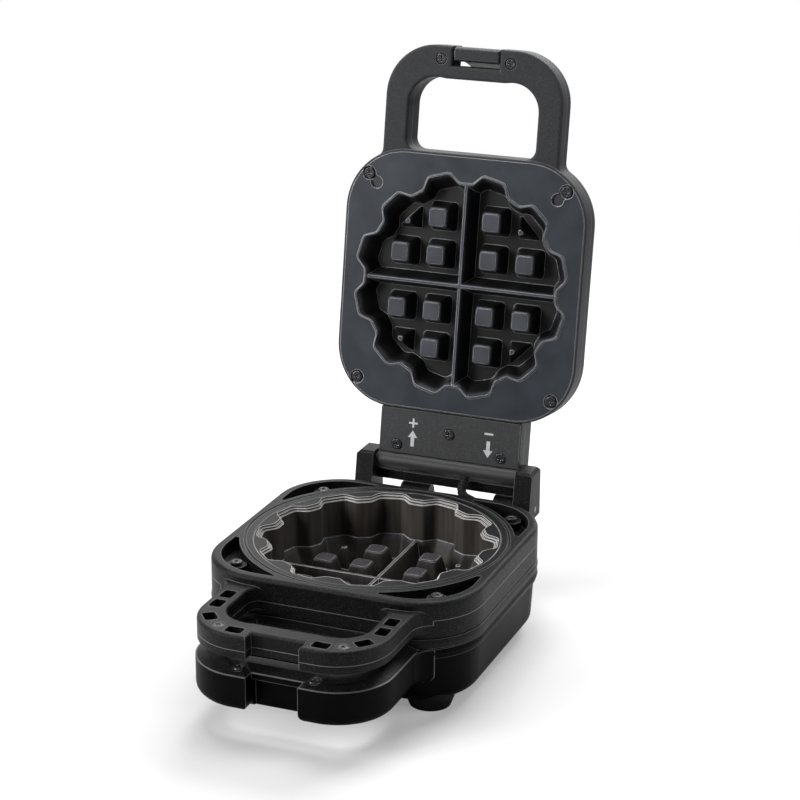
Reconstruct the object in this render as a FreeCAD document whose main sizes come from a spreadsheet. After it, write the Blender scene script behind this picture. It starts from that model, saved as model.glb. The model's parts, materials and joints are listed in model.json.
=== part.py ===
import FreeCAD, Part
import Sketcher
import math
import os

V = FreeCAD.Vector
doc = FreeCAD.newDocument("waffle_pie_maker")
sheet = doc.addObject("Spreadsheet::Sheet", "sizes")

# Driving sizes: millimetres, and degrees for angles.
SIZES = [
    # Heights of the stack, from the table upwards with the lid shut.
    ("foot_height", 8.0),
    ("tub_height", 32.0),
    ("rim_height", 6.7),
    ("rim_seam", 0.6),
    ("frame_height", 6.4),
    ("tier_gap", 0.3),
    ("ring_lower_height", 12.3),
    ("ring_upper_height", 12.7),
    ("lid_gap", 0.3),
    ("lid_frame_height", 12.0),
    ("lid_cover_height", 12.0),
    ("lid_dome_height", 14.0),
    # Plan sizes of the three tiers and their loop handles.
    ("tier_width", 189.0),
    ("tier_length", 188.0),
    ("tier_corner", 45.0),
    ("ring_inset", 0.5),
    ("rim_overhang", 1.0),
    ("tub_inset", 2.5),
    ("tub_draft", 1.5),
    ("tub_round", 7.0),
    ("skirt_height", 3.6),
    ("skirt_thick", 1.6),
    ("lid_width", 180.0),
    ("lid_length", 185.0),
    ("lid_corner", 44.0),
    ("lid_dome_inset", 3.0),
    ("lid_dome_round", 12.0),
    ("wall", 3.0),
    ("handle_width", 132.0),
    ("handle_reach", 168.0),
    ("handle_corner", 37.5),
    ("handle_step", 1.0),
    ("handle_root", 14.0),
    ("handle_overlap", 8.0),
    ("grip_width", 96.0),
    ("grip_end", 147.5),
    ("grip_corner", 20.0),
    ("grip_heel", 8.0),
    ("grip_bulge", 3.5),
    ("grip_bulge_width", 44.0),
    ("notch_width", 34.8),
    ("notch_depth", 8.5),
    ("lid_notch_depth", 14.0),
    ("ring_handle_drop", 6.0),
    ("ring_handle_upper", 9.7),
    ("ring_handle_lower", 5.6),
    ("ring_top_round", 3.0),
    ("ring_low_round", 1.2),
    ("grip_round", 2.0),
    ("base_handle_drop", 3.7),
    ("base_handle_height", 27.3),
    ("base_handle_round", 6.0),
    ("lid_handle_width", 133.4),
    ("lid_handle_root", 6.0),
    ("lid_handle_drop", 2.0),
    ("lid_handle_round", 5.0),
    ("lid_edge_round", 1.2),
    ("handle_cover_thick", 3.6),
    ("handle_cover_bevel", 7.0),
    ("handle_cover_sink", 1.0),
    # Hinges.
    ("hinge_reach", 131.5),
    ("hinge_rise", 2.6),
    ("lid_open", 99.3),
    ("barrel_diameter", 12.5),
    ("barrel_length", 106.4),
    ("pin_diameter", 4.0),
    ("pin_fit", 0.05),
    ("pin_inset", 0.3),
    ("post_spacing", 108.0),
    ("post_width", 13.0),
    ("post_front", 15.5),
    ("post_back", 9.0),
    ("post_rise", 7.6),
    ("post_slant", 6.5),
    ("post_bevel", 1.5),
    ("post_chamfer", 2.6),
    ("post_arm_seat", 8.0),
    ("post_arm_height", 8.0),
    ("slide_travel", 3.0),
    ("block_height", 7.0),
    ("block_thick", 7.0),
    ("slide_fit", 0.15),
    ("ring_axis_rise", 6.0),
    ("bridge_height", 7.0),
    ("bridge_depth", 9.5),
    ("bridge_clearance", 1.4),
    ("knuckle_diameter", 13.2),
    ("left_knuckle_place", -23.6),
    ("left_knuckle_width", 22.0),
    ("right_knuckle_place", 44.9),
    ("right_knuckle_width", 17.0),
    ("panel_thick", 2.8),
    ("panel_gap", 0.4),
    ("panel_well", 1.2),
    ("panel_edge", 0.3),
    # Cast plates.
    ("plate_thick", 3.5),
    ("plate_margin", 1.8),
    ("plate_fit", 0.3),
    ("plate_tab", 10.0),
    ("plate_recess", 2.0),
    ("plate_ledge", 8.0),
    ("cavity_depth", 15.0),
    ("bowl_wall", 3.5),
    ("dip_radius", 70.8),
    ("lobe_radius", 78.5),
    ("floor_dip_radius", 65.0),
    ("floor_lobe_radius", 69.8),
    ("dip_half_angle", 4.0),
    ("lobe_half_angle", 6.0),
    ("scallop_round", 5.0),
    ("stud_first", 19.9),
    ("stud_pitch", 26.9),
    ("stud_base", 20.6),
    ("stud_top", 12.6),
    ("stud_round", 2.4),
    ("stud_bevel", 0.8),
    ("corner_stud_leg", 17.5),
    ("corner_stud_top", 5.0),
    ("bar_base", 11.5),
    ("bar_crest", 1.8),
    ("bead_width", 2.4),
    ("bead_ease", 0.7),
    ("bead_height", 0.9),
    # Ring casting.
    ("casting_radius", 82.6),
    ("casting_fit", 0.3),
    ("casting_flange", 3.0),
    ("casting_flange_thick", 3.0),
    ("casting_drop", 0.4),
    ("casting_sink", 4.7),
    ("step_width", 1.3),
    ("step_height", 1.6),
    ("lip_radius", 87.4),
    ("lip_groove_width", 1.6),
    ("lip_groove_depth", 1.2),
    # Corner pockets and cored pockets of the ring tier.
    ("crescent_margin", 6.5),
    ("crescent_radius", 91.8),
    ("crescent_depth", 10.0),
    ("crescent_reach", 36.0),
    ("boss_diameter", 13.0),
    ("boss_drop", 4.0),
    ("core_width", 8.6),
    ("core_length", 11.5),
    ("core_depth", 8.0),
    ("core_round", 2.0),
    ("core_first", 111.0),
    ("core_pitch", 15.0),
    ("core_corner", 145.5),
    ("core_corner_turn", 40.0),
    ("core_front", 29.0),
    # Screws.
    ("screw_head", 7.6),
    ("screw_head_height", 2.4),
    ("screw_shank", 3.6),
    ("screw_fit", 0.1),
    ("screw_recess", 0.4),
    ("cross_width", 1.1),
    ("cross_length", 4.4),
    ("cross_depth", 1.3),
    ("plate_screw_spread", 147.2),
    ("plate_screw_length", 9.0),
    ("ring_screw_spread", 140.2),
    ("ring_screw_length", 17.0),
    ("keyhole_width", 9.0),
    ("keyhole_neck", 6.4),
    ("keyhole_length", 8.6),
    ("keyhole_depth", 1.8),
    ("panel_screw_spread", 79.2),
    ("panel_screw_place", 119.2),
    ("panel_screw_middle", 107.2),
    ("panel_screw_length", 8.0),
    ("lid_handle_screw_spread", 51.2),
    ("lid_handle_screw_place", 157.6),
    ("lid_handle_screw_length", 17.0),
    ("ring_handle_screw_spread", 84.0),
    ("ring_handle_screw_place", 154.6),
    ("ring_handle_screw_length", 13.0),
    ("base_handle_screw_spread", 51.0),
    ("base_handle_screw_place", 160.0),
    ("base_handle_screw_length", 9.0),
    ("handle_boss_diameter", 7.6),
    # Feet.
    ("foot_top_diameter", 33.0),
    ("foot_bottom_diameter", 27.0),
    ("foot_bore", 9.0),
    ("foot_spread", 130.0),
    ("front_foot_place", 67.5),
    ("rear_foot_place", 67.5),
    ("foot_screw_length", 12.0),
    ("foot_screw_sink", 3.0),
    # Latch.
    ("latch_width", 33.0),
    ("latch_pivot_place", 161.5),
    ("latch_pivot_rise", 7.6),
    ("latch_root", 10.4),
    ("latch_arm_thick", 3.0),
    ("latch_slack", 0.6),
    ("latch_lean", 14.0),
    ("latch_hook_thick", 3.0),
    ("latch_hook_depth", 5.5),
    ("latch_pin_diameter", 3.0),
    ("latch_pin_seat", 5.0),
    ("ledge_height", 4.0),
    ("ledge_depth", 6.0),
    # Heating.
    ("heater_radius", 50.0),
    ("heater_tube", 6.4),
    ("heater_sweep", 300.0),
    ("heater_gap", 0.2),
    ("lead_pin_diameter", 3.2),
    ("lead_pin_length", 12.0),
    ("reflector_width", 138.0),
    ("reflector_corner", 34.0),
    ("reflector_thick", 0.8),
    ("reflector_hole", 26.0),
    ("stand_diameter", 9.0),
    ("stand_spread", 104.0),
    ("thermostat_diameter", 19.0),
    ("thermostat_height", 8.0),
    ("thermostat_stud", 4.0),
    ("fuse_diameter", 4.0),
    ("fuse_length", 14.0),
    ("fuse_place", 30.0),
    ("terminal_length", 34.0),
    ("terminal_width", 16.0),
    ("terminal_height", 11.0),
    ("terminal_bore", 4.0),
    ("terminal_x", -34.0),
    ("terminal_y", 66.0),
    # Lead sleeve from the ring tier to the lid's barrel, and the cord inlet.
    ("sleeve_root", 5.0),
    ("sleeve_crest", 6.4),
    ("sleeve_ribs", 16.0),
    ("sleeve_x", 30.0),
    ("sleeve_drop", 9.0),
    ("sleeve_barrel_x", 15.0),
    ("sleeve_fit", 0.4),
    ("sleeve_bore", 3.4),
    ("sleeve_seat", 4.0),
    ("sleeve_rise", 40.0),
    ("sleeve_pull", 0.45),
    ("gland_x", -40.0),
    ("gland_rise", 22.0),
    ("gland_diameter", 11.0),
    ("gland_flange", 16.0),
    ("gland_bore", 7.0),
    ("gland_stand", 2.5),
    ("gland_inner", 4.0),
]

for row, (alias, value) in enumerate(SIZES, start=1):
    sheet.set("A%d" % row, alias)
    sheet.set("B%d" % row, str(value))
    sheet.setAlias("B%d" % row, alias)
doc.recompute()


def size(alias):
    """Value of one cell of the sheet."""
    return float(sheet.get(alias))


def calc(expression):
    """Value of an expression on the sheet's cells."""
    return float(sheet.evalExpression(expression))


# Levels of the stack.
Z_TUB = size("foot_height")
Z_RIM = Z_TUB + size("tub_height")
Z_SEAM = Z_RIM + size("rim_height")
Z_FRAME = Z_SEAM + size("rim_seam")
Z_FRAME_TOP = Z_FRAME + size("frame_height")
Z_RING = Z_FRAME_TOP + size("tier_gap")
Z_SPLIT = Z_RING + size("ring_lower_height")
Z_TOP = Z_SPLIT + size("ring_upper_height")
Z_LID = Z_TOP + size("lid_gap")
Z_LID_SPLIT = Z_LID + size("lid_frame_height")
Z_LID_BACK = Z_LID_SPLIT + size("lid_cover_height")
Z_DOME = Z_LID_BACK + size("lid_dome_height")
Z_PLATE = Z_RING - size("casting_sink") - size("casting_fit")
Z_HANDLE = Z_TOP - size("ring_handle_drop")
Z_HANDLE_SPLIT = Z_HANDLE - size("ring_handle_upper")
Z_HANDLE_LOW = Z_HANDLE_SPLIT - size("ring_handle_lower")
Z_BASE_HANDLE = Z_FRAME_TOP - size("base_handle_drop")
Z_BASE_HANDLE_LOW = Z_BASE_HANDLE - size("base_handle_height")
Z_LID_HANDLE = Z_LID + size("lid_handle_drop")
Z_HINGE = Z_LID + size("hinge_rise")
Z_RING_AXIS = Z_RING + size("ring_axis_rise")

# Half sizes and places used by several pieces.
TIER_X = size("tier_width") / 2
TIER_Y = size("tier_length") / 2
LID_X = size("lid_width") / 2
LID_Y = size("lid_length") / 2
WALL = size("wall")
NOTCH = size("notch_width") / 2
REACH = size("handle_reach")
HINGE_Y = size("hinge_reach")
SCREW_R = size("screw_shank") / 2
HOLE_R = SCREW_R + size("screw_fit")
HEAD_R = size("screw_head") / 2
HEAD_HOLE_R = HEAD_R + size("screw_recess")
POST_IN = size("post_spacing") / 2
POST_OUT = POST_IN + size("post_width")
FAR = 400.0

pieces = []
motion = {}


def line(start, end):
    return Part.LineSegment(start, end).toShape()


def arc(start, middle, end):
    return Part.Arc(start, middle, end).toShape()


def polar(radius, degrees, centre=V(0, 0, 0)):
    """Point at a radius and an angle about a centre, in plan."""
    turn = math.radians(degrees)
    return centre + V(radius * math.cos(turn), radius * math.sin(turn), 0)


def rounded(points, radii):
    """Closed wire through corner points, each rounded by its own radius."""
    starts = []
    middles = []
    ends = []
    count = len(points)
    for index in range(count):
        corner = V(*points[index])
        back = (V(*points[index - 1]) - corner).normalize()
        ahead = (V(*points[(index + 1) % count]) - corner).normalize()
        half = back.getAngle(ahead) / 2
        radius = radii[index]
        starts.append(corner + back * (radius / math.tan(half)))
        ends.append(corner + ahead * (radius / math.tan(half)))
        inward = (back + ahead).normalize()
        middles.append(corner + inward * (radius / math.sin(half) - radius))
    edges = []
    for index in range(count):
        edges.append(arc(starts[index], middles[index], ends[index]))
        following = starts[(index + 1) % count]
        if ends[index].distanceToPoint(following) > 1e-6:
            edges.append(line(ends[index], following))
    return Part.Wire(edges)


def square(half_x, half_y, radius):
    """Rounded rectangle about the pan's axis."""
    points = [(half_x, half_y), (-half_x, half_y), (-half_x, -half_y), (half_x, -half_y)]
    return rounded(points, [radius] * 4)


def outline(half_x, half_y, corner, width, root, notch_depth, step, inset):
    """Plan of a tier: a rounded square whose front corners sweep into a loop handle with a front notch."""
    half_x -= inset
    half_y -= inset
    corner -= inset
    side = width / 2 - step - inset
    root += step + inset
    front = step + inset - REACH
    turn = size("handle_corner") - step - inset
    notch = NOTCH + inset
    back = front + notch_depth
    middle = V(half_x - corner, half_y - corner, 0)
    fore = V(middle.x, -middle.y, 0)
    sweep = V(side + root, 0, 0)
    sweep.y = fore.y - math.sqrt((corner + root) ** 2 - (sweep.x - fore.x) ** 2)
    touch = math.degrees(math.atan2(sweep.y - fore.y, sweep.x - fore.x))
    heel = V(side - turn, front + turn, 0)
    track = [
        (V(0, half_y, 0), V(middle.x, half_y, 0)),
        (polar(corner, 90, middle), polar(corner, 45, middle), polar(corner, 0, middle)),
        (polar(corner, 0, middle), polar(corner, 0, fore)),
        (polar(corner, 0, fore), polar(corner, touch / 2, fore), polar(corner, touch, fore)),
        (polar(root, touch + 180, sweep), polar(root, touch / 2 + 180, sweep), polar(root, 180, sweep)),
        (polar(root, 180, sweep), polar(turn, 0, heel)),
        (polar(turn, 0, heel), polar(turn, -45, heel), polar(turn, -90, heel)),
        (polar(turn, -90, heel), V(notch, front, 0)),
        (V(notch, front, 0), V(notch, back, 0)),
        (V(notch, back, 0), V(0, back, 0)),
    ]
    mirrored = [tuple(V(-p.x, p.y, 0) for p in reversed(step)) for step in reversed(track)]
    edges = [arc(*step) if len(step) == 3 else line(*step) for step in track + mirrored]
    return Part.Wire(edges)


def grip(start, grow=0.0):
    """Finger gap of a loop handle, its front edge bulged back at the middle."""
    half = size("grip_width") / 2 + grow
    near = start - grow
    end = size("grip_end") + grow
    bulge = size("grip_bulge_width") / 2
    crest = end - size("grip_bulge")
    points = [(half, -near), (-half, -near), (-half, -end), (-bulge, -crest), (bulge, -crest), (half, -end)]
    heel = size("grip_heel") + grow
    corner = size("grip_corner") + grow
    return rounded(points, [heel, heel, corner, corner, corner, corner])


def scallop(dip, lobe, level):
    """Wavy ring of twelve flat lobes with flat dips between them, at a level."""
    dip_angle = size("dip_half_angle")
    lobe_angle = size("lobe_half_angle")
    points = []
    for count in range(12):
        mid = 30.0 * count
        for radius, degrees in ((dip, mid - dip_angle), (dip, mid + dip_angle),
                                (lobe, mid + 15 - lobe_angle), (lobe, mid + 15 + lobe_angle)):
            point = polar(radius, degrees)
            points.append((point.x, point.y, level))
    return rounded(points, [size("scallop_round")] * len(points))


def prism(wire, low, high):
    """Solid of a plan wire between two levels."""
    face = Part.Face(wire)
    face.translate(V(0, 0, low))
    return face.extrude(V(0, 0, high - low))


def lifted(wire, level):
    wire.translate(V(0, 0, level))
    return wire


def loft(wires):
    return Part.makeLoft(wires, True, True)


def block(x_low, y_low, z_low, x_high, y_high, z_high):
    return Part.makeBox(x_high - x_low, y_high - y_low, z_high - z_low, V(x_low, y_low, z_low))


def rod(radius, x, y, low, high):
    """Upright cylinder between two levels."""
    return Part.makeCylinder(radius, high - low, V(x, y, low))


def axle(radius, x_low, x_high, y, level):
    """Cylinder that lies across the object."""
    return Part.makeCylinder(radius, x_high - x_low, V(x_low, y, level), V(1, 0, 0))


def rounded_stack(plan, radius, low, high, up=True):
    """Prism of plan(inset) whose lower edge, or upper edge if up is false, is a quarter round."""
    steps = 5
    wires = []
    for step in range(steps + 1):
        turn = math.radians(90.0 * step / steps)
        inset = radius * (1 - math.sin(turn))
        depth = radius * (1 - math.cos(turn))
        wires.append(lifted(plan(inset), low + depth if up else high - depth))
    wires.append(lifted(plan(0.0), high if up else low))
    return loft(wires)


def eased_grip(start, level, sense):
    """Finger gap that widens by a quarter round towards the level of the handle's face."""
    radius = size("grip_round")
    steps = 5
    wires = []
    for step in range(steps + 1):
        turn = math.radians(90.0 * step / steps)
        grow = radius * (1 - math.cos(turn))
        wires.append(lifted(grip(start, grow), level - sense * radius * (1 - math.sin(turn))))
    return in_front(loft(wires), -start)


def corners(spread):
    half = spread / 2
    return [(half, half), (-half, half), (-half, -half), (half, -half)]


def pair(spread, y):
    return [(spread / 2, y), (-spread / 2, y)]


def drilled(shape, places, radius, low, high):
    """Shape with upright holes at plan places."""
    return shape.cut([rod(radius, x, y, low, high) for x, y in places])


def add(label, obj, body, place=FreeCAD.Placement()):
    """Register a sub-part under its node's name, in a moving body."""
    obj.Label = label
    obj.Placement = place
    pieces.append(obj)
    motion[label] = body
    return obj


def feature(label, shape, body):
    """Sub-part whose form needs Part's own functions."""
    obj = doc.addObject("Part::Feature", label)
    obj.Shape = shape.removeSplitter()
    return add(label, obj, body)


def primitive(kind, name, **expressions):
    """Part primitive with its sizes bound to the sheet."""
    obj = doc.addObject(kind, name)
    for prop, expression in expressions.items():
        obj.setExpression(prop, expression)
    return obj


def bored(label, body, place, outer, bore, length):
    """Tube along Z: one cylinder cut by another, bound to the sheet."""
    solid = primitive("Part::Cylinder", label + "_solid", Radius=outer, Height=length)
    hole = primitive("Part::Cylinder", label + "_hole", Radius=bore, Height=length)
    tube = doc.addObject("Part::Cut", label)
    tube.Base = solid
    tube.Tool = hole
    return add(label, tube, body, place)


def plane_of(body, role):
    return [item for item in body.Origin.OriginFeatures if item.Role == role][0]


def sketch(body, name, role, points, offset="0"):
    """Polygon sketch at an offset from a body's origin plane; every corner is bound to the sheet."""
    outline_sketch = body.newObject("Sketcher::SketchObject", name)
    outline_sketch.AttachmentSupport = [(plane_of(body, role), "")]
    outline_sketch.MapMode = "FlatFace"
    outline_sketch.setExpression("AttachmentOffset.Base.z", offset)
    spots = [V(calc(across), calc(up), 0) for across, up in points]
    count = len(spots)
    for index in range(count):
        side = Part.LineSegment(spots[index], spots[(index + 1) % count])
        outline_sketch.addGeometry(side, False)
    for index in range(count):
        joined = Sketcher.Constraint("Coincident", index, 2, (index + 1) % count, 1)
        outline_sketch.addConstraint(joined)
    for index, (across, up) in enumerate(points):
        for kind, expression in (("DistanceX", across), ("DistanceY", up)):
            bound = Sketcher.Constraint(kind, -1, 1, index, 1, calc(expression))
            number = outline_sketch.addConstraint(bound)
            outline_sketch.setExpression("Constraints[%d]" % number, expression)
    return outline_sketch


def circles(body, name, role, spots, radius):
    """Sketch of equal circles on a body's origin plane, bound to the sheet."""
    drawn = body.newObject("Sketcher::SketchObject", name)
    drawn.AttachmentSupport = [(plane_of(body, role), "")]
    drawn.MapMode = "FlatFace"
    for index, (across, up) in enumerate(spots):
        centre = V(calc(across), calc(up), 0)
        drawn.addGeometry(Part.Circle(centre, V(0, 0, 1), calc(radius)), False)
        for kind, expression in (("DistanceX", across), ("DistanceY", up)):
            bound = Sketcher.Constraint(kind, -1, 1, index, 3, calc(expression))
            drawn.setExpression("Constraints[%d]" % drawn.addConstraint(bound), expression)
        bound = Sketcher.Constraint("Radius", index, calc(radius))
        drawn.setExpression("Constraints[%d]" % drawn.addConstraint(bound), radius)
    return drawn


def padded(body, name, role, points, length, offset="0"):
    """Pad of a polygon, from its plane along the plane's normal."""
    pad = body.newObject("PartDesign::Pad", name)
    pad.Profile = sketch(body, name + "_outline", role, points, offset)
    pad.setExpression("Length", length)
    return pad


def pocketed(body, name, role, points, length):
    """Pocket of a polygon through both sides of its plane."""
    pocket = body.newObject("PartDesign::Pocket", name)
    pocket.Profile = sketch(body, name + "_outline", role, points)
    pocket.setExpression("Length", length)
    pocket.Midplane = True
    return pocket


def rectangle(x_low, y_low, x_high, y_high):
    return [(x_low, y_low), (x_high, y_low), (x_high, y_high), (x_low, y_high)]


def screw(x, y, level, length, down=False):
    """Cross-recess screw with its head's face at a level, facing up or down."""
    head_height = size("screw_head_height")
    crown = size("screw_recess")
    neck = V(HEAD_R, 0, -head_height)
    rim = V(HEAD_R, 0, -crown)
    top = V(HEAD_R - crown, 0, 0)
    tip = V(SCREW_R, 0, -length)
    profile = [V(0, 0, 0), top, rim, neck, V(SCREW_R, 0, -head_height), tip, V(0, 0, -length)]
    half = Part.Face(Part.makePolygon(profile + [profile[0]]))
    solid = half.revolve(V(0, 0, 0), V(0, 0, 1), 360)
    arm = size("cross_length") / 2
    thin = size("cross_width") / 2
    depth = size("cross_depth")
    solid = solid.cut([block(-arm, -thin, -depth, arm, thin, 0), block(-thin, -arm, -depth, thin, arm, 0)])
    turn = FreeCAD.Rotation(V(1, 0, 0), 180 if down else 0)
    solid.Placement = FreeCAD.Placement(V(x, y, level), turn)
    return solid


def screws(label, body, places, level, length, down=False):
    """One node that holds a set of equal screws."""
    obj = doc.addObject("Part::Feature", label)
    obj.Shape = Part.makeCompound([screw(x, y, level, length, down) for x, y in places])
    return add(label, obj, body)


def stud(x, y, depth):
    """Tapered square stud of a waffle plate, standing on the cavity's floor below level zero."""
    base = size("stud_base") / 2
    top = size("stud_top") / 2
    bevel = size("stud_bevel")
    curve = size("stud_round")
    near = lifted(square(base, base, curve + bevel), -depth)
    waist = lifted(square(top + bevel / 2, top + bevel / 2, curve), -bevel)
    crest = lifted(square(top - bevel / 2, top - bevel / 2, curve), 0)
    solid = loft([near, waist, crest])
    foot = prism(square(base, base, curve + bevel), -depth - size("plate_thick") / 2, -depth)
    solid = solid.fuse(foot)
    solid.translate(V(x, y, 0))
    return solid


def corner_stud(sign_x, sign_y, depth):
    """Small three-sided stud in a quadrant's outer corner."""
    inner = size("stud_first") + size("stud_pitch") - size("stud_base") / 2
    leg = size("corner_stud_leg")
    tip = size("corner_stud_top")
    set_in = (leg - tip) / 3
    bevel = size("stud_bevel")
    order = 1 if sign_x * sign_y > 0 else -1

    def triangle(start, length, radius, level):
        points = [(start, start), (start + length, start), (start, start + length)][::order]
        return rounded([(sign_x * x, sign_y * y, level) for x, y in points], [radius] * 3)

    near = triangle(inner, leg, size("stud_round") / 2, -depth)
    crest = triangle(inner + set_in, tip, size("stud_round") / 2, -bevel)
    foot = triangle(inner, leg, size("stud_round") / 2, -depth - size("plate_thick") / 2)
    return loft([foot, near]).fuse(loft([near, crest]))


def waffle_plate(half_x, half_y, slotted):
    """Cast plate, face up at level zero: scalloped cavity with a cross of bars, tapered studs and screw tabs."""
    depth = size("cavity_depth")
    thick = size("plate_thick")
    skin = size("bowl_wall")
    dip = size("dip_radius")
    lobe = size("lobe_radius")
    floor_dip = size("floor_dip_radius")
    floor_lobe = size("floor_lobe_radius")
    flange = prism(square(half_x, half_y, PLATE_R), -thick, 0)
    bowl = loft([scallop(dip + skin, lobe + skin, 0),
                 scallop(floor_dip + skin, floor_lobe + skin, -depth - thick)])
    cavity = loft([scallop(dip, lobe, 0), scallop(floor_dip, floor_lobe, -depth)])
    base = size("bar_base") / 2
    crest = size("bar_crest") / 2
    end = dip + skin / 2
    section = [V(-end, -base, -depth - thick / 2), V(-end, base, -depth - thick / 2), V(-end, base, -depth),
               V(-end, crest, 0), V(-end, -crest, 0), V(-end, -base, -depth)]
    bar = Part.Face(Part.makePolygon(section + [section[0]])).extrude(V(2 * end, 0, 0))
    across = bar.copy()
    across.rotate(V(0, 0, 0), V(0, 0, 1), 90)
    bars = bar.fuse(across).common(bowl)
    first = size("stud_first")
    second = first + size("stud_pitch")
    studs = []
    for sign_x in (1, -1):
        for sign_y in (1, -1):
            for x, y in ((first, first), (first, second), (second, first)):
                studs.append(stud(sign_x * x, sign_y * y, depth))
            studs.append(corner_stud(sign_x, sign_y, depth))
    tabs = [rod(TAB_R, x, y, -thick, 0) for x, y in PLATE_SCREWS]
    plate = flange.fuse([bowl] + tabs).cut(cavity).fuse([bars] + studs)
    plate = drilled(plate, PLATE_SCREWS, TAB_R, -size("plate_recess"), 1)
    plate = drilled(plate, PLATE_SCREWS, HOLE_R, -thick, 0)
    if not slotted:
        return plate
    wide = size("bead_width")
    ease = size("bead_ease")
    rise = size("bead_height")
    bead = loft([scallop(dip + wide, lobe + wide, 0), scallop(dip + wide - ease, lobe + wide - ease, rise)])
    bead = bead.cut(loft([scallop(dip, lobe, 0), scallop(dip + ease, lobe + ease, rise)]))
    return plate.fuse(bead).cut([keyhole(x, y) for x, y in slotted])


def keyhole(x, y):
    """Shallow keyhole from a corner screw towards the plate's middle: a round end on a narrower neck."""
    half = size("keyhole_neck") / 2
    reach = size("keyhole_length")
    depth = size("keyhole_depth")
    slot = block(0, -half, -depth, reach, half, 0)
    slot = slot.fuse(rod(size("keyhole_width") / 2, reach, 0, -depth, 0))
    slot.rotate(V(0, 0, 0), V(0, 0, 1), math.degrees(math.atan2(-y, -x)))
    slot.translate(V(x, y, 0))
    return slot


# Places shared by several pieces.
PLATE_SCREWS = corners(size("plate_screw_spread"))
RING_SCREWS = corners(size("ring_screw_spread"))
STANDS = corners(size("stand_spread"))
FEET = pair(size("foot_spread"), -size("front_foot_place")) + pair(size("foot_spread"), size("rear_foot_place"))
COVER_SCREWS = pair(size("base_handle_screw_spread"), -size("base_handle_screw_place"))
RING_HANDLE_SCREWS = pair(size("ring_handle_screw_spread"), -size("ring_handle_screw_place"))
LID_HANDLE_SCREWS = pair(size("lid_handle_screw_spread"), -size("lid_handle_screw_place"))
PANEL_SCREWS = pair(size("panel_screw_spread"), size("panel_screw_place")) + [(0.0, size("panel_screw_middle"))]
GRIP_START = TIER_Y - size("ring_inset")
ROOT_Y = size("handle_overlap") - TIER_Y
PLATE_X = LID_X - size("plate_margin")
PLATE_Y = LID_Y - size("plate_margin")
PLATE_R = size("lid_corner") - size("plate_margin")
TAB_R = size("plate_tab") / 2
FIT = size("plate_fit")
HEAD = size("screw_head_height")
PLATE_HEAD = HEAD - size("plate_recess")
BORE_R = size("casting_radius") + size("casting_fit")
FLANGE_SEAT_R = BORE_R + size("casting_flange")
PIN_R = size("pin_diameter") / 2
PIN_HOLE_R = PIN_R + size("pin_fit")
BARREL_R = size("barrel_diameter") / 2
BARREL_X = size("barrel_length") / 2
LATCH_Y = -size("latch_pivot_place")
Z_LATCH = Z_LID + size("latch_pivot_rise")
Z_PLATE_BACK = Z_PLATE - size("plate_thick")
Z_BOWL_BACK = Z_PLATE_BACK - size("cavity_depth")
Z_HEATER = Z_BOWL_BACK - size("heater_gap") - size("heater_tube") / 2
Z_REFLECTOR = Z_HEATER - size("heater_tube") / 2 - size("heater_gap") - size("reflector_thick")
Z_LID_BOWL = Z_LID + Z_PLATE - Z_BOWL_BACK
Z_LID_HEATER = Z_LID_BOWL + Z_BOWL_BACK - Z_HEATER
Z_LID_REFLECTOR = Z_LID_BOWL + Z_BOWL_BACK - Z_REFLECTOR
Z_COVER_SEAT = Z_BASE_HANDLE - size("handle_cover_thick")
Z_COVER_SCREW = Z_COVER_SEAT + size("handle_cover_sink")
Z_LEDGE = Z_COVER_SEAT - size("ledge_height")
Z_PANEL = Z_LID + size("panel_gap")
Z_NECK = Z_PANEL + size("panel_thick")
Z_GLAND = Z_TUB + size("gland_rise")
Z_SLEEVE = Z_TOP - size("sleeve_drop")


def tier_square(inset, level=0.0):
    """Rounded square of the base and ring tiers."""
    return lifted(square(TIER_X - inset, TIER_Y - inset, size("tier_corner") - inset), level)


def tier_plan(inset, step=0.0):
    return outline(TIER_X, TIER_Y, size("tier_corner"), size("handle_width"), size("handle_root"),
                   size("notch_depth"), step, inset)


def lid_square(inset):
    return square(LID_X - inset, LID_Y - inset, size("lid_corner") - inset)


def lid_plan(inset):
    return outline(LID_X, LID_Y, size("lid_corner"), size("lid_handle_width"), size("lid_handle_root"),
                   size("lid_notch_depth"), size("handle_step"), inset)


def plate_seat(half_x, half_y, low, high):
    """Pocket that takes a cast plate with its four screw tabs."""
    seat = prism(square(half_x + FIT, half_y + FIT, PLATE_R + FIT), low, high)
    return seat.fuse([rod(TAB_R + FIT, x, y, low, high) for x, y in PLATE_SCREWS])


def in_front(shape, y):
    """Part of a shape in front of a plane across the object."""
    return shape.cut(block(-FAR, y, -FAR, FAR, FAR, FAR))


# Base: tub with the lower loop handle.
def tub_solid(inset, low, curve, high):
    """Tub form: a drafted wall on a quarter-round lower edge."""
    step = inset + size("tub_inset")
    foot = step + size("tub_draft")
    lower = rounded_stack(lambda more: tier_square(foot + more), curve, low, low + curve * 1.02)
    upper = loft([tier_square(foot, low + curve), tier_square(step, Z_RIM)])
    if high > Z_RIM:
        upper = upper.fuse(prism(tier_square(step), Z_RIM, high))
    return lower.fuse(upper)


def base_handle(inset, low, high):
    """Loop handle's block in front of the tub."""
    solid = rounded_stack(lambda more: tier_plan(inset + more), size("base_handle_round"), low, high)
    return in_front(solid, ROOT_Y).cut(prism(grip(GRIP_START, inset), low - 1, high + 1))


def gland_solid(radius, start, end):
    """Round bar along the cord inlet's axis."""
    return Part.makeCylinder(radius, end - start, V(size("gland_x"), start, Z_GLAND), V(0, 1, 0))


TUB = tub_solid(0.0, Z_TUB, size("tub_round"), Z_RIM)


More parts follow.
